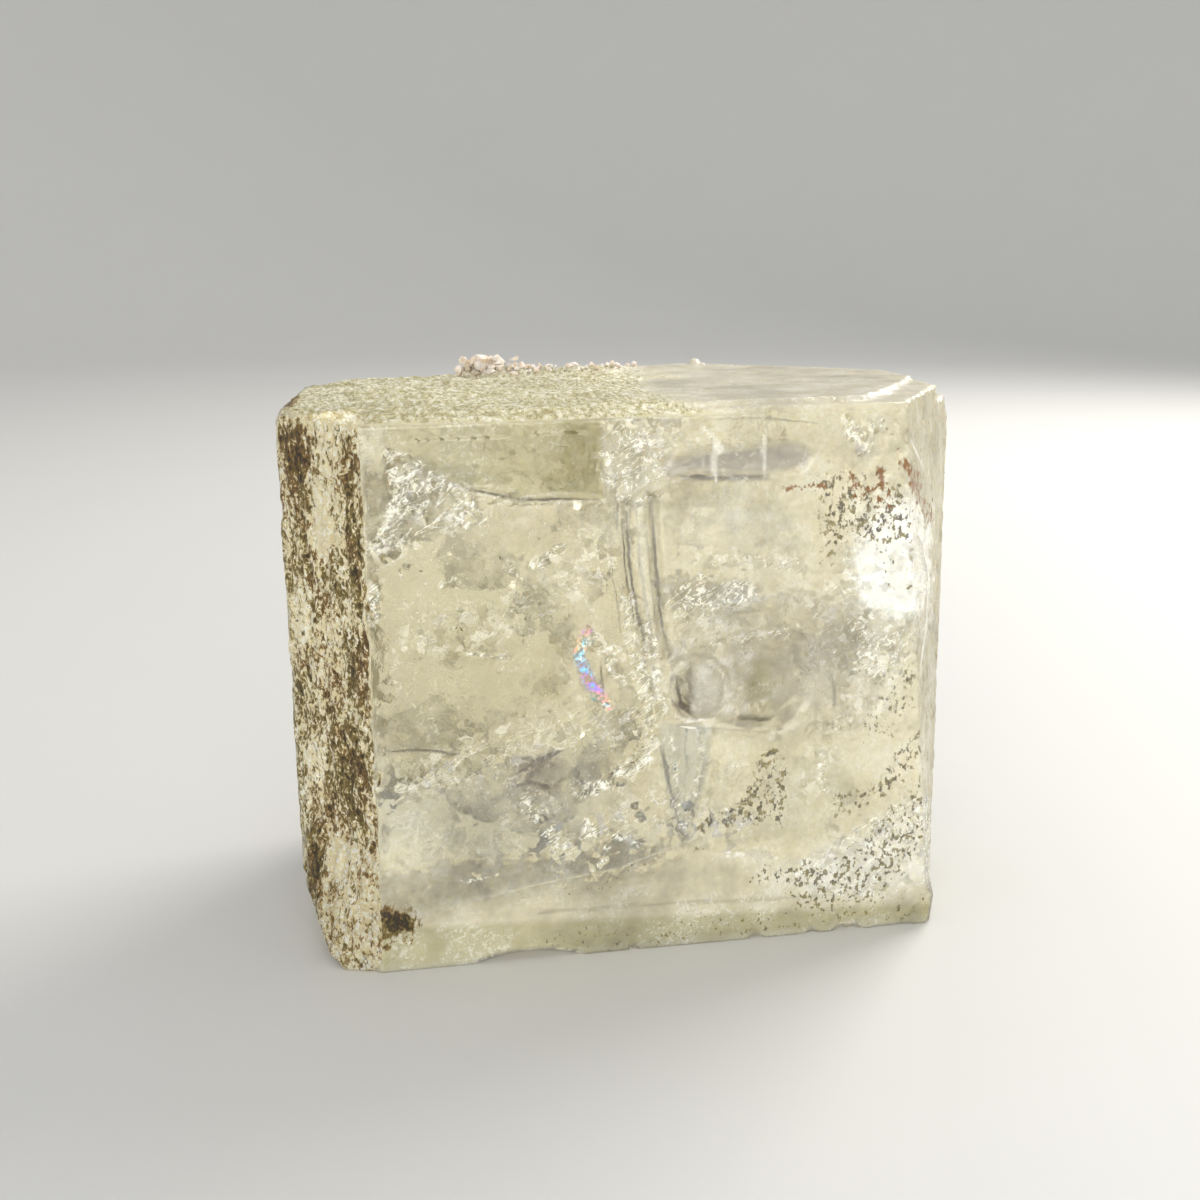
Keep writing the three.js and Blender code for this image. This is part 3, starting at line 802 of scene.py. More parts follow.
# The marks on the front: a stroke is a bent line's corners, half width and share, and a spot is an oval's
# centre, radii, turn, softness and share. A column of the stain is an oval's centre, radii, turn and share.
# Painted shade: dark lines along cracks, steps, the ridge, the ring and the wedge's edges.
DARK_STROKES = (
    ([(650, 500), (654, 560), (660, 620), (668, 652)], 2.6, 0.8),
    ([(470, 490), (520, 500), (600, 501)], 2.6, 0.8),
    ([(394, 456), (430, 474), (470, 489)], 2.2, 0.5),
    ([(614, 462), (616, 500), (615, 530)], 1.8, 0.5),
    ([(711, 738), (701, 792), (685, 842)], 4, 0.3),
    ([(662, 745), (672, 800), (684, 843)], 3.2, 0.4),
    ([(740, 718), (770, 719)], 4.5, 0.9),
    ([(832, 675), (836, 705)], 3.5, 0.6),
    ([(540, 914), (660, 905), (789, 900), (872, 893)], 2.5, 0.4),
    ([(693, 660), (694, 690), (695, 718)], 2.4, 0.7),
)
# Painted highlights: pale lines on the bar, the lump, the foot's step and the wedge.
PALE_STROKES = (
    ([(704, 426), (714, 438), (716, 482)], 3.6, 0.9),
    ([(765, 434), (766, 477)], 3.2, 0.8),
    ([(634, 420), (646, 432), (652, 448)], 3.4, 0.9),
    ([(662, 418), (700, 425), (702, 450)], 2.4, 0.5),
    ([(680, 432), (700, 440), (706, 470)], 2.4, 0.4),
    ([(452, 905), (540, 883), (620, 867), (684, 842)], 3.0, 0.4),
    ([(640, 725), (772, 729)], 3.0, 0.35),
)
# Softer painted highlights.
PALE_SOFT_STROKES = (
    ([(716, 655), (731, 668), (735, 688)], 4, 0.6),
    ([(676, 716), (690, 723), (704, 722)], 4, 1.0),
    ([(852, 420), (863, 452), (876, 424)], 4, 0.8),
    ([(836, 425), (850, 446)], 4, 0.6),
)
# Spots of painted light at the highlight near the right edge and over the lower right.
PALE_SPOTS = (
    ((905, 540), (40, 60), 0, 0.6, 0.6),
    ((780, 790), (70, 40), 0, 0.8, 0.3),
    ((860, 700), (60, 80), 10, 0.8, 0.25),
)
# White veils and streaks, with painted glints.
BRIGHT_STROKES = (
    ([(626, 590), (640, 668), (652, 730)], 17, 0.6),
    ([(584, 792), (607, 782), (647, 758), (656, 735)], 17, 0.62),
    ([(530, 808), (548, 830), (562, 850)], 20, 0.62),
)
BRIGHT_SOFT_STROKES = (
    ([(648, 620), (656, 670), (662, 715)], 9, 0.75),
    ([(690, 604), (705, 592), (716, 584)], 9, 0.9),
    ([(680, 592), (700, 576)], 8, 0.7),
    ([(586, 825), (602, 850), (598, 866)], 11, 0.8),
    ([(618, 836), (640, 846)], 8, 0.6),
    ([(533, 568), (545, 557), (560, 551)], 9, 0.7),
    ([(496, 500), (510, 497), (530, 498)], 6, 0.7),
    ([(437, 588), (457, 583)], 6, 0.8),
    ([(510, 568), (522, 580)], 5, 0.8),
    ([(596, 640), (612, 655), (622, 680)], 16, 0.6),
    ([(818, 755), (824, 790)], 9, 0.5),
    ([(705, 646), (745, 638), (790, 632)], 9, 0.4),
    ([(462, 882), (494, 874)], 5, 0.5),
    ([(674, 735), (677, 790), (684, 835)], 6, 0.7),
    ([(702, 735), (699, 780), (688, 825)], 5, 0.6),
    ([(700, 566), (730, 556), (800, 566)], 16, 0.4),
    ([(420, 640), (520, 610), (600, 560)], 40, 0.3),
    ([(400, 790), (520, 740), (640, 720)], 40, 0.34),
    ([(560, 850), (660, 800), (740, 830)], 40, 0.34),
    ([(820, 600), (860, 700), (800, 790)], 40, 0.3),
)
# White spots with painted glints; the last is the painted highlight near the right edge.
BRIGHT_SPOTS = (
    ((736, 596), (20, 13), -20, 0.8, 0.85),
    ((728, 772), (26, 14), 0, 0.8, 0.35),
    ((700, 600), (40, 30), -30, 0.9, 0.5),
    ((880, 650), (30, 40), 20, 0.9, 0.55),
    ((372, 605), (7, 20), 0, 0.5, 0.6),
    ((895, 575), (52, 80), 10, 0.6, 0.75),
)
PEPPER_STROKES = (
    ([(936, 640), (905, 690), (875, 725)], 20, 0.7),
    ([(935, 720), (890, 785), (845, 806)], 16, 0.85),
    ([(820, 892), (860, 880), (935, 800)], 40, 0.8),
    ([(700, 592), (760, 640), (880, 700)], 90, 0.25),
    ([(560, 945), (760, 925), (930, 905)], 20, 0.45),
    ([(540, 905), (650, 868), (700, 850)], 9, 0.4),
)
RUST_STROKES = (
    ([(905, 460), (916, 482), (924, 502), (932, 518)], 11, 1.0),
    ([(880, 470), (885, 488), (892, 504)], 10, 1.0),
    ([(872, 488), (877, 504)], 8, 0.9),
    ([(853, 473), (860, 496)], 8, 0.9),
)
PLUM_SPOTS = (
    ((683, 707), (12, 9), 0, 0.5, 0.9),
    ((538, 766), (26, 12), -25, 0.8, 0.6),
    ((545, 788), (18, 7), 0, 0.7, 0.6),
    ((860, 452), (6, 5), 0, 0.5, 0.7),
    ((656, 640), (5, 30), -8, 0.6, 0.5),
)
GREEN_SPOTS = (
    ((760, 690), (12, 34), 0, 0.5, 0.7),
    ((470, 640), (110, 100), 0, 0.7, 0.65),
    ((800, 790), (80, 60), 0, 0.7, 0.4),
)
STAIN_COLUMNS = (
    ((292, 440), (12, 55), -3, 0.45),
    ((300, 520), (9, 70), -3, 0.2),
    ((350, 520), (7, 80), -3, 0.35),
    ((357, 670), (11, 40), -3, 0.3),
    ((345, 745), (16, 22), 0, 0.25),
    ((352, 790), (14, 40), 0, 0.25),
    ((312, 870), (9, 42), 3, 0.5),
    ((300, 735), (10, 60), 0, 0.12),
    ((340, 930), (40, 30), 0, 0.1),
    ((318, 526), (11, 40), 0, -0.42),
    ((300, 618), (10, 36), 0, -0.25),
    ((311, 762), (11, 28), 0, -0.4),
    ((337, 858), (9, 20), 0, -0.45),
    ((330, 640), (9, 30), 0, -0.15),
    ((322, 438), (9, 30), 0, -0.12),
    ((360, 900), (10, 40), 0, -0.15),
    ((345, 410), (12, 26), 0, -0.25),
)


def under_low_edge(pixels):
    """How many pixels each point lies under the step along the front's foot."""
    return pixels[:, 1] - np.interp(pixels[:, 0], *np.array(LOW_EDGE, float).T)


def body_mesh(settings):
    """The crystal's solid as an even skin of small faces, finer on the front and the left flank."""
    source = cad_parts[NODE]
    piece = bpy.data.objects.new("crystal_body", source.data.copy())
    bpy.context.scene.collection.objects.link(piece)
    work = bmesh.new()
    work.from_mesh(piece.data)
    bmesh.ops.remove_doubles(work, verts=work.verts, dist=0.001 * MM)
    work.to_mesh(piece.data)
    work.free()
    remesh = piece.modifiers.new("skin", "REMESH")
    remesh.mode = "VOXEL"
    remesh.voxel_size = settings.voxel
    plain_copy(piece)
    work = bmesh.new()
    work.from_mesh(piece.data)
    work.normal_update()
    forward = Vector((0, -1, 0))
    fine = [f for f in work.faces if f.normal.dot(forward) > 0.45 and f.normal.dot(Vector((0, 0, 1))) < 0.6]
    edges = {edge for face in fine for edge in face.edges}
    bmesh.ops.subdivide_edges(work, edges=list(edges), cuts=1, use_grid_fill=True)
    bmesh.ops.triangulate(work, faces=[f for f in work.faces if len(f.verts) > 4])
    work.to_mesh(piece.data)
    work.free()
    wrap = piece.modifiers.new("wrap", "SHRINKWRAP")
    wrap.target = source
    wrap.wrap_method = "NEAREST_SURFACEPOINT"
    return plain_copy(piece)


def face_weights(points, normals):
    """How much each vertex belongs to each face of the crystal, by where it looks and lies."""
    x, y, z = points.T
    flank = smooth_share(normals @ np.array(FLANK_OUT), 0.72, 0.9)
    flank = np.maximum(flank, smooth_share(-x, 9.9, 10.6) * (y < 4) * (normals[:, 1] < 0.4))
    right = smooth_share(normals @ np.array(RIGHT_OUT.normalized()), 0.86, 0.96)
    top = smooth_share(normals[:, 2], 0.6, 0.9) * smooth_share(z, HEIGHT - 2.5, HEIGHT - 1.5)
    front = smooth_share(-normals[:, 1], 0.75, 0.92) * (1 - flank)
    return {
        "front": front,
        "flank": flank,
        "top": top,
        "right": right,
        "foot": front * smooth_share(-z - 0.045 * (x + 5), -2.3, -1.7),
        "back": smooth_share(normals[:, 1], 0.2, 0.6),
        "base": smooth_share(-normals[:, 2], 0.7, 0.9),
    }


def marks(points, weights):
    """Where the crystal's milk, colours, stains and specks lie, and its painted glints, highlights and shade,
    each from 0 to 1.
    """
    x, y, z = points.T
    front, flank, top = weights["front"], weights["flank"], weights["top"]
    near = np.maximum.reduce([front, flank, weights["right"]])
    waver = np.stack([sampled(points, 0.9, 3, seed, where=near) for seed in (11, 12)], axis=1)
    ragged = np.stack([sampled(points, 2.6, 3, seed, where=near) for seed in (14, 15)], axis=1)
    facing = np.maximum(front, weights["right"] * (1 - smooth_share(y + 2.5 * waver[:, 0], 1.5, 6.5)))
    pixels = seen(points) + waver * 3.5 + ragged * 5
    crisp = seen(points) + waver * 1.2
    patches = sampled(points, 0.17, 3, 13)

    window = area(crisp, WINDOW, 2.5) * front
    veil = area(pixels, VEIL, 7) * front
    lump = oval(pixels, *LUMP, 0.22) * front
    bar = area(crisp, BAR, 2.5) * front
    second_bar = line(crisp, SECOND_BAR, 4.5) * front
    shell = area(pixels, SHELL, 9) * front
    wedge = area(crisp, WEDGE, 3) * front
    # The ring is painted as a pit in shade on its left half and lit on its right half, with a painted bright
    # rim and a shaded inner ring.
    ring_reach = np.hypot(*(crisp + ragged * 2.5 + waver * 1.5 - np.array(RING)).T)
    left_of_ring = RING[0] - 3 - crisp[:, 0]
    ring_dark = (1 - smooth_share(ring_reach, 19, 30)) * smooth_share(left_of_ring, -3, 3) * front
    ring_light = (1 - smooth_share(ring_reach, 20, 30)) * smooth_share(-left_of_ring, -3, 3) * front
    ring_edge, ring_shade = (
        smooth_share(-np.abs(ring_reach - reach), -4, -0.5) * np.clip(least + more, 0, 1) * front
        for reach, least, more in ((31, 0.8, ragged[:, 0]), (25, 0.7, ragged[:, 1]))
    )
    # The ridge: painted shade along its two grooves and a painted highlight between them.
    ridge_dark = np.maximum(line(crisp, RIDGE_LEFT, 9), line(crisp, RIDGE_RIGHT, 7)) * front
    ridge_light = line(crisp, RIDGE_GAP, 8) * front
    lens = area(pixels, LENS, 16) * front
    # A painted highlight: the bright spot near the right edge.
    glow = oval(pixels, *GLOW, 0.6) * facing
    # A painted silvery sheen at the lower right.
    sheen = area(pixels, SHEEN, 14) * facing
    top_left = top * smooth_share(-x + 3 * patches, -6.5, -1.5)
    corner = top * smooth_share(-x, 8.5, 11) + flank * smooth_share(z, HEIGHT - 1.2, HEIGHT - 0.4)

    # Painted shade and painted light on the front: dark lines of painted shade, pale lines and spots of
    # painted highlight, and white veils with painted glints.
    dark = np.maximum.reduce([
        ridge_dark * 0.55,
        strokes(crisp, DARK_STROKES),
        line(pixels, RING_CRACK, 6) * 0.35,
        ring_dark * 0.7,
        ring_shade * 0.6,
        oval(pixels, *LUMP_NICK, 0.4),
    ])
    pale = np.maximum.reduce([
        ridge_light * 0.5,
        strokes(crisp, PALE_STROKES),
        area(crisp, BRIGHT_CHIP, 2),
        ring_edge * 0.85,
        ring_light * 0.55,
        strokes(crisp, PALE_SOFT_STROKES, 0.9),
        area(pixels, BRIGHT_FIELD, 14) * 0.35,
        np.minimum(glow * 2.4, 1.5),
        spots(pixels, PALE_SPOTS),
        sheen * 0.85,
        veil * 0.2,
        line(pixels, PALE_EDGE, 9, 0.9) * 0.7,
    ]) * facing
    bright = np.maximum.reduce([
        strokes(pixels, BRIGHT_STROKES, 0.95),
        strokes(pixels, BRIGHT_SOFT_STROKES, 0.9),
        spots(pixels, BRIGHT_SPOTS),
        line(crisp, FOOT_GLINT, 6, 0.9) * 0.9,
        oval(crisp, *SPARK, 0.5),
        line(crisp, LEFT_GLINT, 3.0) * 0.6,
        line(pixels, TOP_GLINT, 7) * 0.7,
        lump * 0.6,
        veil * 0.75,
        sheen * 0.85,
    ]) * facing
    hidden = np.maximum(weights["back"], weights["right"] * smooth_share(y, 2, 6))
    bright = np.maximum(bright, hidden * smooth_share(patches, 0.05, 0.6) * 0.6)

    # Specks on the front, beside the right edge and along the foot.
    pepper = np.maximum.reduce([
        area(pixels, UPPER_SPECKS, 12) * 0.95,
        oval(pixels, *GLOW_SPECKS, 0.5) * 0.35,
        oval(pixels, *CORNER_SPECK, 0.5),
        area(pixels, MIDDLE_SPECKS, 5),
        strokes(pixels, PEPPER_STROKES),
        area(pixels, LOWER_SPECKS, 6) * 0.8,
    ]) * front
    pepper = np.maximum(pepper, weights["right"] * 0.3)
    rust = np.maximum.reduce([
        line(crisp, FINE_RUST, 5, 0.9) * 0.6,
        line(crisp, LEVEL_RUST, 6, 0.9) * 0.85,
        strokes(pixels, RUST_STROKES, 0.9),
    ]) * facing

    # The left flank's stain: dense in its columns, thin in its pale patches.
    stain = 0.45 + 0.12 * patches
    for *shape, more in STAIN_COLUMNS:
        stain += more * oval(pixels, *shape, 0.5)
    stain -= 0.05 + 0.1 * smooth_share(-z, -9, -2)
    stain = np.clip(stain, 0, 1) * flank * (1 - 0.75 * np.clip(corner, 0, 1))
    eye = area(pixels, STAIN_EYE, 4)
    seep = oval(pixels, *SEEP, 0.6) * front
    spot = oval(crisp, *CORNER_STAIN, 0.4)
    stain = np.maximum.reduce([stain, eye, seep * 0.62, spot * np.maximum(flank, top) * 0.95])

    low = smooth_share(under_low_edge(pixels), -8, 20) * front
    low_left = smooth_share(pixels[:, 1], *LOW_LEFT_ROWS) * smooth_share(pixels[:, 0], *LOW_LEFT_COLUMNS)
    low_left *= front
    milk = 0.22 + 0.12 * patches
    milk += flank * 0.5 + top_left * 0.35 + weights["foot"] * 0.02 + weights["base"] * 0.8
    # The milk also rises under the painted highlight, the painted sheen and the painted shade.
    milk += glow * 0.5 + sheen * 0.05 + bar * 0.35 + window * 0.2 + lump * 0.2 + dark * 0.25
    milk += low * 0.3 + low_left * 0.3 + top * 0.2 + wedge * 0.1
    milk += smooth_share(x, 0, 6) * 0.22 * (1 - weights["back"])

    green = np.maximum.reduce([
        window * (0.75 + 0.25 * smooth_share(pixels[:, 0], *WINDOW_COLUMNS)),
        top_left * 0.75,
        spots(pixels, GREEN_SPOTS) * front,
        weights["foot"] * 0.6,
        low * 0.1,
        flank * 0.12,
    ])
    grey = np.maximum.reduce([
        bar,
        second_bar * 0.9,
        shell * 0.45,
        lens * 0.3,
        line(pixels, LENS_RIM, 9, 0.9) * front * 0.6,
        lump * 0.15,
        top * (1 - top_left) * 0.45,
        low * 0.1,
        weights["foot"] * 0.25,
        np.clip(corner, 0, 1) * 0.5,
        oval(pixels, *GREY_HAZE, 0.6) * front * 0.2,
    ])
    plum = spots(pixels, PLUM_SPOTS) * front
    film = line(crisp + ragged, RAINBOW, 8.5, 0.6) * front
    blue = np.maximum(wedge, oval(pixels, *BLUE_GLEAM, 0.6) * front) * 0.7
    blue = np.maximum(blue, lens * 0.5)
    return {
        "milk": np.clip(milk, 0, 1),
        "green": green,
        "grey": grey,
        "blue": blue,
        "dark": dark,
        "bright": bright,
        "pale": pale,
        "stain": stain,
        "pepper": np.clip(pepper, 0, 1),
        "rust": rust,
        "plum": plum,
        "film": film,
    }


def relief(points, weights, settings):
    """How far each vertex moves along its normal, in millimetres: never out of the solid."""
    x, y, z = points.T
    flank, front, top, back = (weights[name] for name in ("flank", "front", "top", "back"))
    swell = sampled(points, 0.22, 3, 1.0)
    ripple = sampled(points, 0.9, 3, 2.0)
    move = -settings.waviness * (0.5 + 0.5 * swell) - 0.015 * np.abs(ripple)
    etched = sampled(points, (1.7, 1.7, 0.6), 5, 3.0, where=flank)
    pocks = sampled(points, (3.2, 3.2, 1.4), 3, 4.0, where=flank)
    etch = np.clip(0.35 + 0.6 * etched, 0, 1) ** 1.5 + 0.45 * np.clip(pocks - 0.1, 0, 1)
    move -= settings.etching * flank * np.clip(etch, 0, 1.2)
    left_top = top * smooth_share(-x, -6, -1)
    granular = np.abs(sampled(points, 1.9, 3, 5.0, where=left_top))
    move -= 0.2 * left_top * np.clip(granular, 0, 1)
    lines = sampled(points, (0.12, 2.2, 0.5), 3, 6.0, where=top)
    move -= 0.1 * (top - left_top) * np.clip(0.3 + lines, 0, 1)
    dimples = sampled(points, 1.6, 3, 7.0, where=np.maximum.reduce([weights["right"], front]))
    edge = np.maximum(weights["right"], front * smooth_share(x, 10.5, 13))
    move -= 0.12 * edge * np.clip(dimples, 0, 1)
    shards = sampled(points, 0.35, 4, 8.0, where=back)
    terraces = np.round((shards + 1) * 4) / 4 - 1
    move -= 0.14 * back * np.clip(0.4 + 0.9 * terraces + 0.1 * shards, 0, 1)
    move -= 0.05 * weights["foot"] * np.clip(0.5 + dimples, 0, 1)

    shifts = (sampled(points, 1.1, 2, seed, where=front) for seed in (16, 17))
    pixels = seen(points) + np.stack(list(shifts), axis=1) * 3.5
    carved = 0.24 * np.maximum(line(pixels, RIDGE_LEFT, 12, 0.9), line(pixels, RIDGE_RIGHT, 9, 0.9))
    reach = np.hypot(*(pixels - np.array(RING)).T)
    carved += 0.16 * smooth_share(-reach, -30, -6) * smooth_share(RING[0] - 3 - pixels[:, 0], -9, 3)
    carved += 0.13 * smooth_share(-np.abs(reach - 30), -7, 0)
    wedge_run = off_line(pixels, WEDGE_MIDDLE)
    carved += 0.24 * area(pixels, WEDGE, 3) * (1 - smooth_share(wedge_run, 0, 26))
    carved += 0.16 * area(pixels, BAR, 4)
    shell_reach = np.hypot(*(pixels - np.array(SHELL_CENTRE)).T * np.array([[1.0], [1.35]]))
    carved += 0.07 * area(pixels, SHELL, 5) * (1 + np.sin(shell_reach / 7.0 + ripple * 1.5))
    rough = np.maximum(area(pixels, VEIL, 6), oval(pixels, *LUMP, 0.25))
    facets = sampled(points, 1.4, 2, 9.0, where=rough * front)
    carved += 0.26 * rough * np.abs(facets)
    carved += 0.24 * area(pixels, WINDOW, 3) * smooth_share(pixels[:, 1], *WINDOW_ROWS)
    carved += 0.12 * smooth_share(under_low_edge(pixels), -2, 22)
    move -= front * carved
    return np.minimum(move, 0) * smooth_share(z, 0.02, 0.3)


def build_body(settings):
    piece = body_mesh(settings)
    mesh = piece.data
    count = len(mesh.vertices)
    points = np.empty(count * 3)
    normals = np.empty(count * 3)
    mesh.vertices.foreach_get("co", points)
    mesh.vertex_normals.foreach_get("vector", normals)
    points = (points.reshape(-1, 3) - np.array(ORIGIN)) / MM
    normals = normals.reshape(-1, 3)
    weights = face_weights(points, normals)
    x, y, z = points.T
    right_end = FRONT_RIGHT + SPREAD_DOWN * (1 - z / HEIGHT)
    inner = (x > FRONT_LEFT + 0.7) & (x < right_end - 0.9) & (z < HEIGHT - 0.7)
    flat = inner & (y < 0.45) & (under_low_edge(seen(points)) < -4)
    points[flat, 1] = 0
    normals[flat] = (0, -1, 0)
    for name, weight in weights.items():
        weight[flat] = 1.0 if name == "front" else 0.0
    moved = points + normals * relief(points, weights, settings)[:, None]
    moved[:, 2] = np.where(points[:, 2] < 0.02, 0.0, np.maximum(moved[:, 2], 0))
    low = (np.array(LOW) - np.array(ORIGIN)) / MM
    high = (np.array(HIGH) - np.array(ORIGIN)) / MM
    moved = np.clip(moved, low, high)
    mesh.vertices.foreach_set("co", (moved * MM + np.array(ORIGIN)).ravel())
    for name, weight in (*weights.items(), *marks(points, weights).items()):
        layer = mesh.attributes.new(name, "FLOAT", "POINT")
        layer.data.foreach_set("value", weight)
    mesh.polygons.foreach_set("use_smooth", [True] * len(mesh.polygons))
    mesh.update()
    finish_piece(piece, feldspar_material(settings))
    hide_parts(NODE)
    return piece


# What lies inside the crystal.

# The cracks: pixel, depth, the way it faces, half width, half height, bulge, raggedness, turn, ripple, seed.
GREY_CRACKS = {
    "shell_crack": (
        ((770, 660), 3.2, (0.15, -1, 0.2), 5.2, 3.1, 0.9, 0.2, 0.1, 0.35, 1),
        ((850, 640), 4.4, (-0.3, -1, 0.1), 2.6, 2.2, 0.5, 0.25, 0.4, 0.3, 2),
    ),
    "cloud_lens": (
        ((520, 795), 2.6, (0.1, -1, 0.3), 3.4, 1.7, 0.5, 0.25, -0.15, 0.3, 3),
        ((575, 770), 3.6, (-0.1, -1, 0.2), 2.6, 1.2, 0.3, 0.3, 0.3, 0.3, 4),
    ),
    "top_bar": (
        ((740, 458), 1.2, (0, -1, 0.15), 3.3, 0.62, 0.12, 0.08, -0.05, 0.05, 5),
        ((718, 478), 1.1, (0, -1, 0.1), 2.3, 0.14, 0.05, 0.1, -0.03, 0.02, 6),
    ),
}
# The shards of the rainbow crack: pixel, half width, half height and turn. The veils also have a depth and
# the way they face after the pixel.
RAINBOW_SHARDS = (
    ((588, 639), 0.3, 0.42, 0.2),
    ((580, 655), 0.26, 0.4, -0.3),
    ((583, 667), 0.24, 0.38, 0.3),
    ((587, 682), 0.26, 0.46, 0.35),
    ((596, 695), 0.28, 0.42, 0.5),
    ((606, 704), 0.2, 0.3, 0.6),
    ((590, 671), 0.12, 0.9, 0.3),
)
SOFT_VEILS = (
    ((560, 600), 2.2, (0.3, -1, 0.3), 2.2, 1.6, 0.4),
    ((480, 560), 3.0, (-0.3, -1, 0.1), 2.0, 1.4, -0.3),
    ((430, 500), 1.6, (0.2, -1, 0.4), 2.2, 1.7, 0.2),
    ((610, 700), 1.6, (0.5, -1, 0.0), 1.4, 2.6, 0.3),
    ((700, 600), 1.8, (0.1, -1, 0.5), 2.4, 1.0, -0.5),
    ((590, 810), 1.8, (-0.2, -1, 0.4), 2.6, 1.5, -0.3),
    ((800, 800), 2.4, (-0.4, -1, 0.2), 2.6, 2.0, 0.5),
    ((890, 560), 1.4, (-0.5, -1, 0.1), 1.8, 2.8, 0.1),
    ((860, 430), 1.4, (-0.2, -1, 0.5), 1.8, 1.2, 0.1),
    ((640, 470), 1.3, (0.1, -1, 0.1), 1.5, 1.8, 0.1),
    ((450, 720), 3.5, (0.2, -1, -0.2), 3.2, 1.2, 0.1),
    ((720, 520), 3.0, (0.0, -1, 0.2), 3.0, 1.4, 0.0),
)

# The narrow cracks: corners in pixels, half width and depth in millimetres.
# Bright cracks: white sheets, partly real white cracks and partly painted glints.
BRIGHT_LINES = (
    ([(637, 505), (640, 560), (649, 620), (656, 690)], 0.07, 0.35),
    ([(607, 510), (612, 570), (622, 640)], 0.04, 0.5),
    ([(645, 520), (650, 580), (658, 640)], 0.04, 0.3),
    ([(703, 424), (713, 438), (716, 482)], 0.07, 0.25),
    ([(765, 434), (766, 477)], 0.06, 0.25),
    ([(607, 430), (602, 465), (612, 498)], 0.06, 0.3),
    ([(634, 420), (644, 434), (650, 452)], 0.08, 0.3),
    ([(846, 420), (856, 436), (862, 454)], 0.07, 0.4),
    ([(884, 418), (874, 438), (864, 454)], 0.06, 0.4),
    ([(886, 408), (912, 440), (926, 470)], 0.05, 0.5),
    ([(394, 458), (430, 476), (470, 492), (486, 524), (452, 526)], 0.05, 0.3),
    ([(388, 470), (402, 500), (386, 545)], 0.06, 0.4),
    ([(450, 500), (470, 510), (484, 525)], 0.06, 0.5),
    ([(690, 606), (704, 594), (718, 584)], 0.09, 0.5),
    ([(676, 590), (690, 582), (702, 574)], 0.06, 0.5),
    ([(700, 570), (760, 562), (830, 574)], 0.05, 0.6),
    ([(668, 668), (688, 656), (712, 656), (730, 672), (733, 695), (722, 716)], 0.07, 0.3),
    ([(672, 700), (682, 716), (700, 723)], 0.06, 0.3),
    ([(662, 724), (690, 728), (712, 729), (775, 733)], 0.05, 0.2),
    ([(708, 740), (700, 790), (684, 840)], 0.06, 0.3),
    ([(583, 792), (607, 782), (647, 760), (655, 738)], 0.1, 0.5),
    ([(532, 812), (546, 828), (560, 848)], 0.1, 0.5),
    ([(586, 826), (601, 846), (598, 862)], 0.08, 0.5),
    ([(722, 856), (745, 853), (778, 857)], 0.09, 0.2),
    ([(452, 906), (540, 884), (620, 868), (685, 842), (770, 838)], 0.04, 0.15),
    ([(466, 654), (490, 657), (510, 658)], 0.05, 0.4),
    ([(505, 572), (515, 576), (522, 584)], 0.05, 0.6),
    ([(374, 590), (370, 612), (376, 632)], 0.07, 0.3),
    ([(860, 620), (882, 640), (900, 632)], 0.06, 0.4),
    ([(700, 636), (745, 628), (790, 640)], 0.06, 0.9),
    ([(930, 560), (928, 620), (920, 680)], 0.06, 0.3),
)
# Dark cracks: dark sheets standing for the painted shade that cracks, edges, the ridge, the ring and the bar
# show.
DARK_LINES = (
    ([(652, 500), (656, 560), (662, 622), (670, 655)], 0.09, 0.5),
    ([(627, 505), (630, 560), (640, 622), (648, 652)], 0.11, 0.7),
    ([(620, 508), (624, 566), (634, 630)], 0.05, 0.7),
    ([(672, 468), (710, 458), (765, 455), (806, 456)], 0.22, 0.8),
    ([(676, 477), (720, 479), (764, 477)], 0.08, 0.5),
    ([(394, 458), (430, 477), (470, 491), (520, 501), (600, 501)], 0.05, 0.4),
    ([(615, 462), (617, 500), (616, 532)], 0.04, 0.3),
    ([(676, 676), (680, 705), (694, 716)], 0.13, 0.6),
    ([(662, 745), (672, 800), (684, 842)], 0.06, 0.4),
    ([(741, 719), (770, 719)], 0.08, 0.4),
    ([(832, 675), (836, 706)], 0.07, 0.5),
    ([(600, 660), (604, 700)], 0.05, 0.8),
    ([(515, 775), (535, 762), (562, 752)], 0.12, 0.9),
    ([(505, 790), (530, 782), (552, 788)], 0.1, 0.9),
    ([(380, 752), (420, 750), (470, 756)], 0.06, 0.7),
    ([(700, 420), (760, 418), (830, 424)], 0.04, 0.5),
    ([(660, 740), (664, 770), (668, 790)], 0.05, 0.5),
)

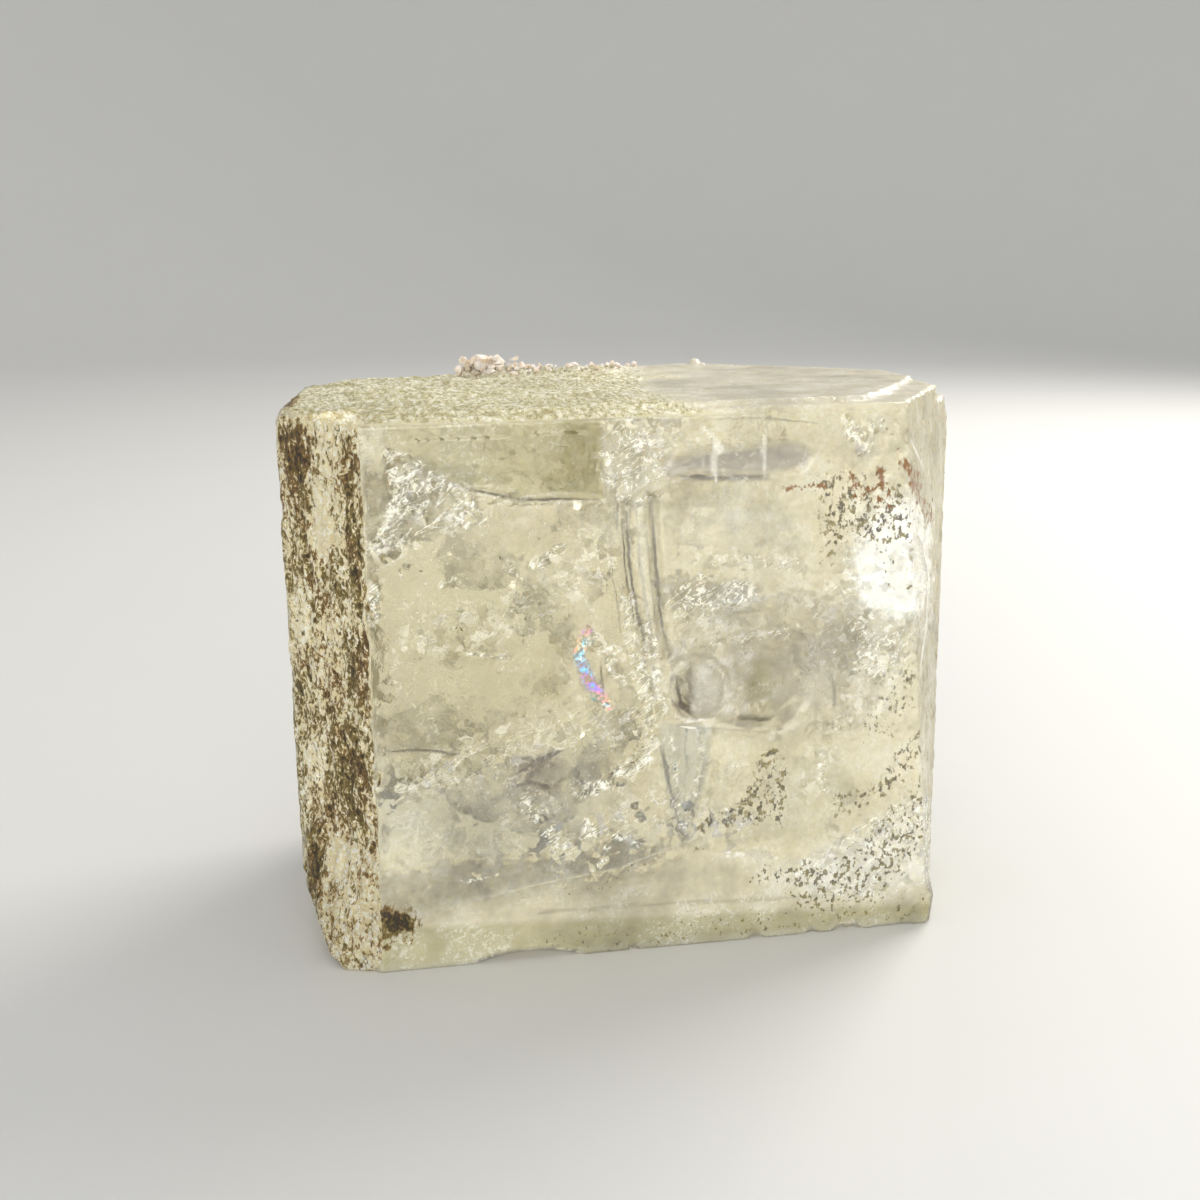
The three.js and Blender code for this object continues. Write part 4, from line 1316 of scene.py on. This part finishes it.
# The flakes: a convex outline in pixels, how many, and the least and the greatest depth.
WHOLE_FRONT = [(380, 430), (920, 425), (925, 880), (400, 900)]
FLAKE_FIELDS = (
    (VEIL, 90, 0.55, 2.2),
    ([(604, 425), (640, 418), (668, 430), (668, 490), (640, 505), (608, 498)], 70, 0.45, 1.6),
    ([(524, 560), (545, 545), (562, 552), (552, 575), (535, 580)], 14, 0.55, 1.2),
    ([(490, 488), (525, 490), (522, 505), (492, 502)], 10, 0.45, 1.0),
    ([(364, 585), (380, 590), (380, 625), (366, 625)], 8, 0.45, 1.0),
    ([(626, 590), (650, 600), (668, 720), (640, 735)], 46, 0.55, 2.0),
    ([(596, 630), (622, 640), (630, 690), (602, 680)], 14, 0.55, 1.4),
    ([(680, 600), (716, 576), (725, 590), (695, 612)], 16, 0.55, 1.4),
    ([(716, 592), (742, 582), (760, 598), (730, 612)], 16, 0.55, 1.4),
    ([(700, 635), (790, 628), (800, 650), (720, 655)], 18, 0.75, 2.2),
    ([(576, 800), (650, 735), (665, 750), (600, 800)], 24, 0.55, 1.7),
    ([(526, 800), (560, 805), (610, 830), (606, 866), (560, 856)], 40, 0.55, 2.0),
    ([(700, 755), (760, 760), (750, 782), (712, 785)], 14, 0.65, 1.7),
    ([(720, 848), (778, 850), (776, 862), (722, 862)], 14, 0.45, 0.8),
    ([(835, 410), (885, 412), (880, 450), (850, 465)], 36, 0.55, 2.0),
    ([(860, 500), (938, 500), (935, 620), (880, 640)], 60, 0.55, 2.4),
    ([(780, 880), (850, 830), (935, 800), (932, 888)], 80, 0.45, 2.2),
)


def scatter_tree(name, material):
    """Geometry nodes that set a flat flake on each point of a guide, turned and sized at random."""
    tree = bpy.data.node_groups.new(name, "GeometryNodeTree")
    face = tree.interface
    face.new_socket("Geometry", in_out="INPUT", socket_type="NodeSocketGeometry")
    for label in ("Smallest", "Largest", "Flatness", "Lean"):
        face.new_socket(label, in_out="INPUT", socket_type="NodeSocketFloat")
    for label in ("Corners", "Seed"):
        face.new_socket(label, in_out="INPUT", socket_type="NodeSocketInt")
    face.new_socket("Geometry", in_out="OUTPUT", socket_type="NodeSocketGeometry")
    given = add_node(tree, "NodeGroupInput").outputs

    def node(kind, settings=None, inputs=None, output=0):
        return add_node(tree, kind, settings, inputs).outputs[output]

    def maths(operation, first, second):
        return node("ShaderNodeMath", {"operation": operation}, {0: first, 1: second})

    def vector(x, y, z):
        return node("ShaderNodeCombineXYZ", {}, {0: x, 1: y, 2: z})

    def random_value(kind, first, least, most, output):
        inputs = {first: least, first + 1: most, "Seed": given["Seed"]}
        return node("FunctionNodeRandomValue", {"data_type": kind}, inputs, output)

    disc = {"Vertices": given["Corners"], "Radius": 1.0, "Depth": 1.0}
    flake = node("GeometryNodeMeshCylinder", {"fill_type": "NGON"}, disc, "Mesh")
    size = random_value("FLOAT", 2, given["Smallest"], given["Largest"], 1)
    narrow = maths("MULTIPLY", size, random_value("FLOAT", 2, 0.2, 0.8, 1))
    scale = vector(size, narrow, maths("MULTIPLY", size, given["Flatness"]))
    low = maths("MULTIPLY", given["Lean"], -1.0)
    least = vector(maths("ADD", low, math.pi / 2), -math.pi, low)
    most = vector(maths("ADD", given["Lean"], math.pi / 2), math.pi, given["Lean"])
    turn = random_value("FLOAT_VECTOR", 0, least, most, 0)
    spread = {"Points": given["Geometry"], "Instance": flake, "Rotation": turn, "Scale": scale}
    placed = node("GeometryNodeInstanceOnPoints", {}, spread)
    real = node("GeometryNodeRealizeInstances", {}, {"Geometry": placed})
    painted = node("GeometryNodeSetMaterial", {}, {"Geometry": real, "Material": material})
    add_node(tree, "NodeGroupOutput", {}, {"Geometry": painted})
    return tree


def scattered(name, points, material, smallest, largest, flatness, lean, seed, corners=5):
    """A piece made of many flakes, one at each layout point."""
    piece = new_object(name, points, [])
    tree = scatter_tree(name, material)
    modifier = piece.modifiers.new("scatter", "NODES")
    modifier.node_group = tree
    sockets = {i.name: i.identifier for i in tree.interface.items_tree if i.in_out == "INPUT"}
    sizes = {"Smallest": smallest * MM, "Largest": largest * MM, "Flatness": flatness, "Lean": lean}
    for label, given in {**sizes, "Corners": corners, "Seed": seed}.items():
        modifier[sockets[label]] = given
    plain_copy(piece)
    return finish_piece(piece)


def in_polygon(draw, corners):
    """A pixel inside a convex outline of pixels, drawn at random."""
    weights = [draw.random() ** 1.3 for _ in corners]
    total = sum(weights)
    return tuple(sum(w * c[i] for w, c in zip(weights, corners)) / total for i in (0, 1))


def in_rectangle(draw, corners):
    """A pixel inside a four-sided outline, drawn evenly."""
    (a, b, c, d), s, t = corners, draw.random(), draw.random()
    return tuple((1 - t) * ((1 - s) * a[i] + s * b[i]) + t * ((1 - s) * d[i] + s * c[i]) for i in (0, 1))


# Operators.


class CRYSTAL_OT_body(bpy.types.Operator):
    """Gives the crystal its skin, relief and feldspar"""

    bl_idname = "crystal.body"
    bl_label = "Body"

    def execute(self, context):
        build_body(context.scene.crystal_body)
        return {"FINISHED"}


class CRYSTAL_OT_cracks(bpy.types.Operator):
    """Adds the larger cracks and lenses inside the crystal"""

    bl_idname = "crystal.cracks"
    bl_label = "Cracks"

    def execute(self, context):
        settings = context.scene.crystal_inner
        grey = crack_material("grey crack", settings.smoke, 0.75, 0.3, 0.9, 0.2, 1.0)
        for name, rows in GREY_CRACKS.items():
            self.sheets(name, grey, settings.thickness, rows)
        shards = [
            (pixel, 0.7 + 0.05 * k, (0.3, -0.9, 0.1 * (k - 3)), *size, 0.05, 0.35, turn, 0.04, 30 + k, 3, 12)
            for k, (pixel, *size, turn) in enumerate(RAINBOW_SHARDS)
        ]
        self.sheets("rainbow_crack", rainbow_material(), 0.03, shards, False)
        soft = crack_material("soft veils", settings.veil, 0.75, 0.4, 1.1, 0.0, 3.0)
        veils = [(*row, 0.4, 0.3, turn, 0.5, 50 + k) for k, (*row, turn) in enumerate(SOFT_VEILS)]
        self.sheets("soft_veils", soft, settings.thickness, veils)
        return {"FINISHED"}

    def sheets(self, name, material, thickness, rows, smooth=True):
        """A piece of several cracks, whose rows say where each lies and how it is shaped."""
        parts = [
            sheet(inside(pixel, depth), facing, wide, tall, bulge, thickness, *more)
            for pixel, depth, facing, wide, tall, bulge, *more in rows
        ]
        finish_piece(new_object(name, *joined(parts), smooth), material)


class CRYSTAL_OT_lines(bpy.types.Operator):
    """Draws the narrow bright and dark cracks close under the front: white sheets that partly stand for
    painted glints, and dark sheets of painted shade
    """

    bl_idname = "crystal.lines"
    bl_label = "Lines"

    def execute(self, context):
        settings = context.scene.crystal_inner
        for name, rows, tint, roughness, metallic in (
            ("bright_lines", BRIGHT_LINES, settings.veil, 0.22, 0.3),
            ("dark_lines", DARK_LINES, settings.shade, 0.4, 0.0),
        ):
            piece = new_object(name, *joined(ribbon(*row, seed=k) for k, row in enumerate(rows)))
            point_outwards(piece)
            finish_piece(piece, flake_material(name.replace("_", " "), tint, roughness, metallic))
        return {"FINISHED"}


class CRYSTAL_OT_veils(bpy.types.Operator):
    """Scatters the flakes of the white veils and the small glints"""

    bl_idname = "crystal.veils"
    bl_label = "Veils and glints"

    def execute(self, context):
        settings = context.scene.crystal_inner
        draw = random.Random(5)
        white = flake_material("veil flakes", settings.veil, 0.25, 0.35)
        bright = flake_material("glints", settings.veil, 0.12, 0.8)
        glints = range(settings.glints)
        points = [inside(in_rectangle(draw, WHOLE_FRONT), draw.uniform(0.45, 1.8)) for _ in glints]
        for corners, count, near, far in FLAKE_FIELDS:
            points += [inside(in_polygon(draw, corners), draw.uniform(near, far)) for _ in range(count)]
        scattered("veil_flakes", points[::2], white, 0.06, 0.26, 0.06, 0.8, 3)
        scattered("veil_slivers", points[1::2], bright, 0.04, 0.18, 0.08, 1.1, 7, 4)

        points = []
        while len(points) < settings.glints:
            point = Vector((draw.uniform(-11, 16), draw.uniform(0.8, 16.5), draw.uniform(1.5, 24)))
            if point.x < -9 and point.y < 4:
                continue
            points.append(point)
        scattered("inner_glints", points, bright, 0.05, 0.2, 0.07, 1.2, 4)
        return {"FINISHED"}


class CRYSTAL_OT_grains(bpy.types.Operator):
    """Grows the pale grains on the back rim of the top"""

    bl_idname = "crystal.grains"
    bl_label = "Rim grains"

    def execute(self, context):
        settings = context.scene.crystal_grains
        draw = random.Random(9)
        chunks = []
        for x, y, size, count in ((-3.05, 16.6, 0.62, 16), (-2.3, 16.9, 0.5, 9), (-3.7, 16.5, 0.42, 8)):
            for _ in range(count):
                spread = Vector((draw.gauss(0, 0.42), draw.gauss(-0.2, 0.35), draw.uniform(0.15, 0.8)))
                chunks.append(chunk(Vector((x, y, HEIGHT)) + spread, size * draw.uniform(0.5, 0.95), draw))
        for _ in range(settings.rim):
            along = draw.random() ** 1.3
            y = 17 + along * 1.1 + draw.gauss(0, 0.25)
            at = (-1.7 + along * 7.2, y, HEIGHT + 0.12 + draw.uniform(-0.1, 0.22))
            chunks.append(chunk(at, draw.uniform(0.1, 0.34) * (1 - 0.4 * along), draw))
        for _ in range(5):
            at = (8.9 + draw.gauss(0, 0.2), 18.4, HEIGHT + 0.15)
            chunks.append(chunk(at, draw.uniform(0.12, 0.3), draw))
        grains = new_object("rim_grains", *joined(chunks))
        keep_inside(grains)
        finish_piece(grains, grain_material(settings))
        return {"FINISHED"}


def area_light(name, location, aim, size, power, tint):
    lamp = bpy.data.lights.new(name, "AREA")
    lamp.shape = "RECTANGLE"
    lamp.size, lamp.size_y = size
    lamp.energy = power
    lamp.color = tint
    holder = bpy.data.objects.new(name, lamp)
    holder.location = location
    holder.rotation_euler = (Vector(aim) - Vector(location)).to_track_quat("-Z", "Y").to_euler()
    bpy.context.scene.collection.objects.link(holder)
    return holder


class CRYSTAL_OT_stage(bpy.types.Operator):
    """Sets the pale floor, the studio lights and the camera"""

    bl_idname = "crystal.stage"
    bl_label = "Stage"

    def execute(self, context):
        settings = context.scene.crystal_stage
        self.floor(settings)
        self.lights(settings)
        self.camera(context.scene)
        return {"FINISHED"}

    def floor(self, settings):
        """A flat round floor whose rim curves up to a low wall."""
        flat, curve, wall, steps, spokes = 0.32, 0.2, 0.12, 10, 64
        profile = [(0.0, 0.0), (flat * 0.5, 0.0), (flat, 0.0)]
        for k in range(1, steps + 1):
            angle = math.pi / 2 * k / steps
            profile.append((flat + curve * math.sin(angle), curve * (1 - math.cos(angle))))
        profile.append((flat + curve, curve + wall))
        points = [(0, 0, 0)]
        for reach, height in profile[1:]:
            for k in range(spokes):
                angle = 2 * math.pi * k / spokes
                points.append((reach * math.cos(angle), reach * math.sin(angle), height))
        faces = [[0, 1 + k, 1 + (k + 1) % spokes] for k in range(spokes)]
        for ring in range(len(profile) - 2):
            a, b = 1 + ring * spokes, 1 + (ring + 1) * spokes
            faces += [[a + k, b + k, b + (k + 1) % spokes, a + (k + 1) % spokes] for k in range(spokes)]
        mesh = bpy.data.meshes.new("floor")
        mesh.from_pydata(points, [], faces)
        mesh.polygons.foreach_set("use_smooth", [True] * len(mesh.polygons))
        floor = bpy.data.objects.new("floor", mesh)
        bpy.context.scene.collection.objects.link(floor)
        s = Shader("pale floor")
        mottle = s.noise(0.05, 4, 0.5)
        tone = s.mix(mottle * 0.25, settings.floor, tuple(c * 0.9 for c in settings.floor))
        mesh.materials.append(s.finish(s.principled(base_color=tone, roughness=0.6)))

    def lights(self, settings):
        aim = (0, 0, 0.012)
        warm, plain, cool = (1.0, 0.97, 0.9), (1.0, 1.0, 1.0), (0.95, 0.97, 1.0)
        area_light("key", (0.17, 0.12, 0.16), aim, (0.14, 0.14), settings.key, warm)
        area_light("fill", (-0.06, -0.34, 0.1), aim, (0.3, 0.18), settings.fill, cool)
        area_light("top", (0, 0.02, 0.3), aim, (0.25, 0.25), settings.top, plain)
        world = bpy.data.worlds.new("soft surround")
        world.use_nodes = True
        background = world.node_tree.nodes["Background"]
        background.inputs["Color"].default_value = (0.93, 0.94, 0.95, 1)
        background.inputs["Strength"].default_value = settings.sky
        bpy.context.scene.world = world
        bpy.context.scene.view_settings.view_transform = "Standard"

    def camera(self, scene):
        eye = bpy.data.cameras.new("photo view")
        eye.sensor_width = 36
        eye.lens = FOCAL_PIXELS / FRAME_PIXELS * eye.sensor_width
        eye.clip_start = 0.001
        holder = bpy.data.objects.new("photo view", eye)
        holder.location = place(EYE)
        holder.rotation_euler = Euler((math.pi / 2 - PITCH, 0, -YAW))
        scene.collection.objects.link(holder)
        scene.camera = holder


class CRYSTAL_PT_panel(bpy.types.Panel):
    """Lists the steps and their settings"""

    bl_idname = "CRYSTAL_PT_panel"
    bl_label = "Adularia crystal"
    bl_space_type = "VIEW_3D"
    bl_region_type = "UI"
    bl_category = "Crystal"

    def draw(self, context):
        for operator, group in STEPS:
            box = self.layout.box()
            box.operator(operator.bl_idname)
            settings = getattr(context.scene, group)
            for name in settings.bl_rna.properties.keys():
                if name not in {"rna_type", "name"}:
                    box.prop(settings, name)


GROUPS = {
    "crystal_body": CRYSTAL_PG_body,
    "crystal_inner": CRYSTAL_PG_inner,
    "crystal_grains": CRYSTAL_PG_grains,
    "crystal_stage": CRYSTAL_PG_stage,
}
STEPS = (
    (CRYSTAL_OT_stage, "crystal_stage"),
    (CRYSTAL_OT_body, "crystal_body"),
    (CRYSTAL_OT_cracks, "crystal_inner"),
    (CRYSTAL_OT_lines, "crystal_inner"),
    (CRYSTAL_OT_veils, "crystal_inner"),
    (CRYSTAL_OT_grains, "crystal_grains"),
)
CLASSES = (*GROUPS.values(), *(operator for operator, _ in STEPS), CRYSTAL_PT_panel)


def register():
    for cls in CLASSES:
        bpy.utils.register_class(cls)
    for name, group in GROUPS.items():
        setattr(bpy.types.Scene, name, PointerProperty(type=group))


def unregister():
    for name in GROUPS:
        delattr(bpy.types.Scene, name)
    for cls in reversed(CLASSES):
        bpy.utils.unregister_class(cls)


def main():
    register()
    bpy.ops.crystal.stage()
    bpy.ops.crystal.body()
    bpy.ops.crystal.cracks()
    bpy.ops.crystal.lines()
    bpy.ops.crystal.veils()
    bpy.ops.crystal.grains()


if __name__ == "__main__":
    main()
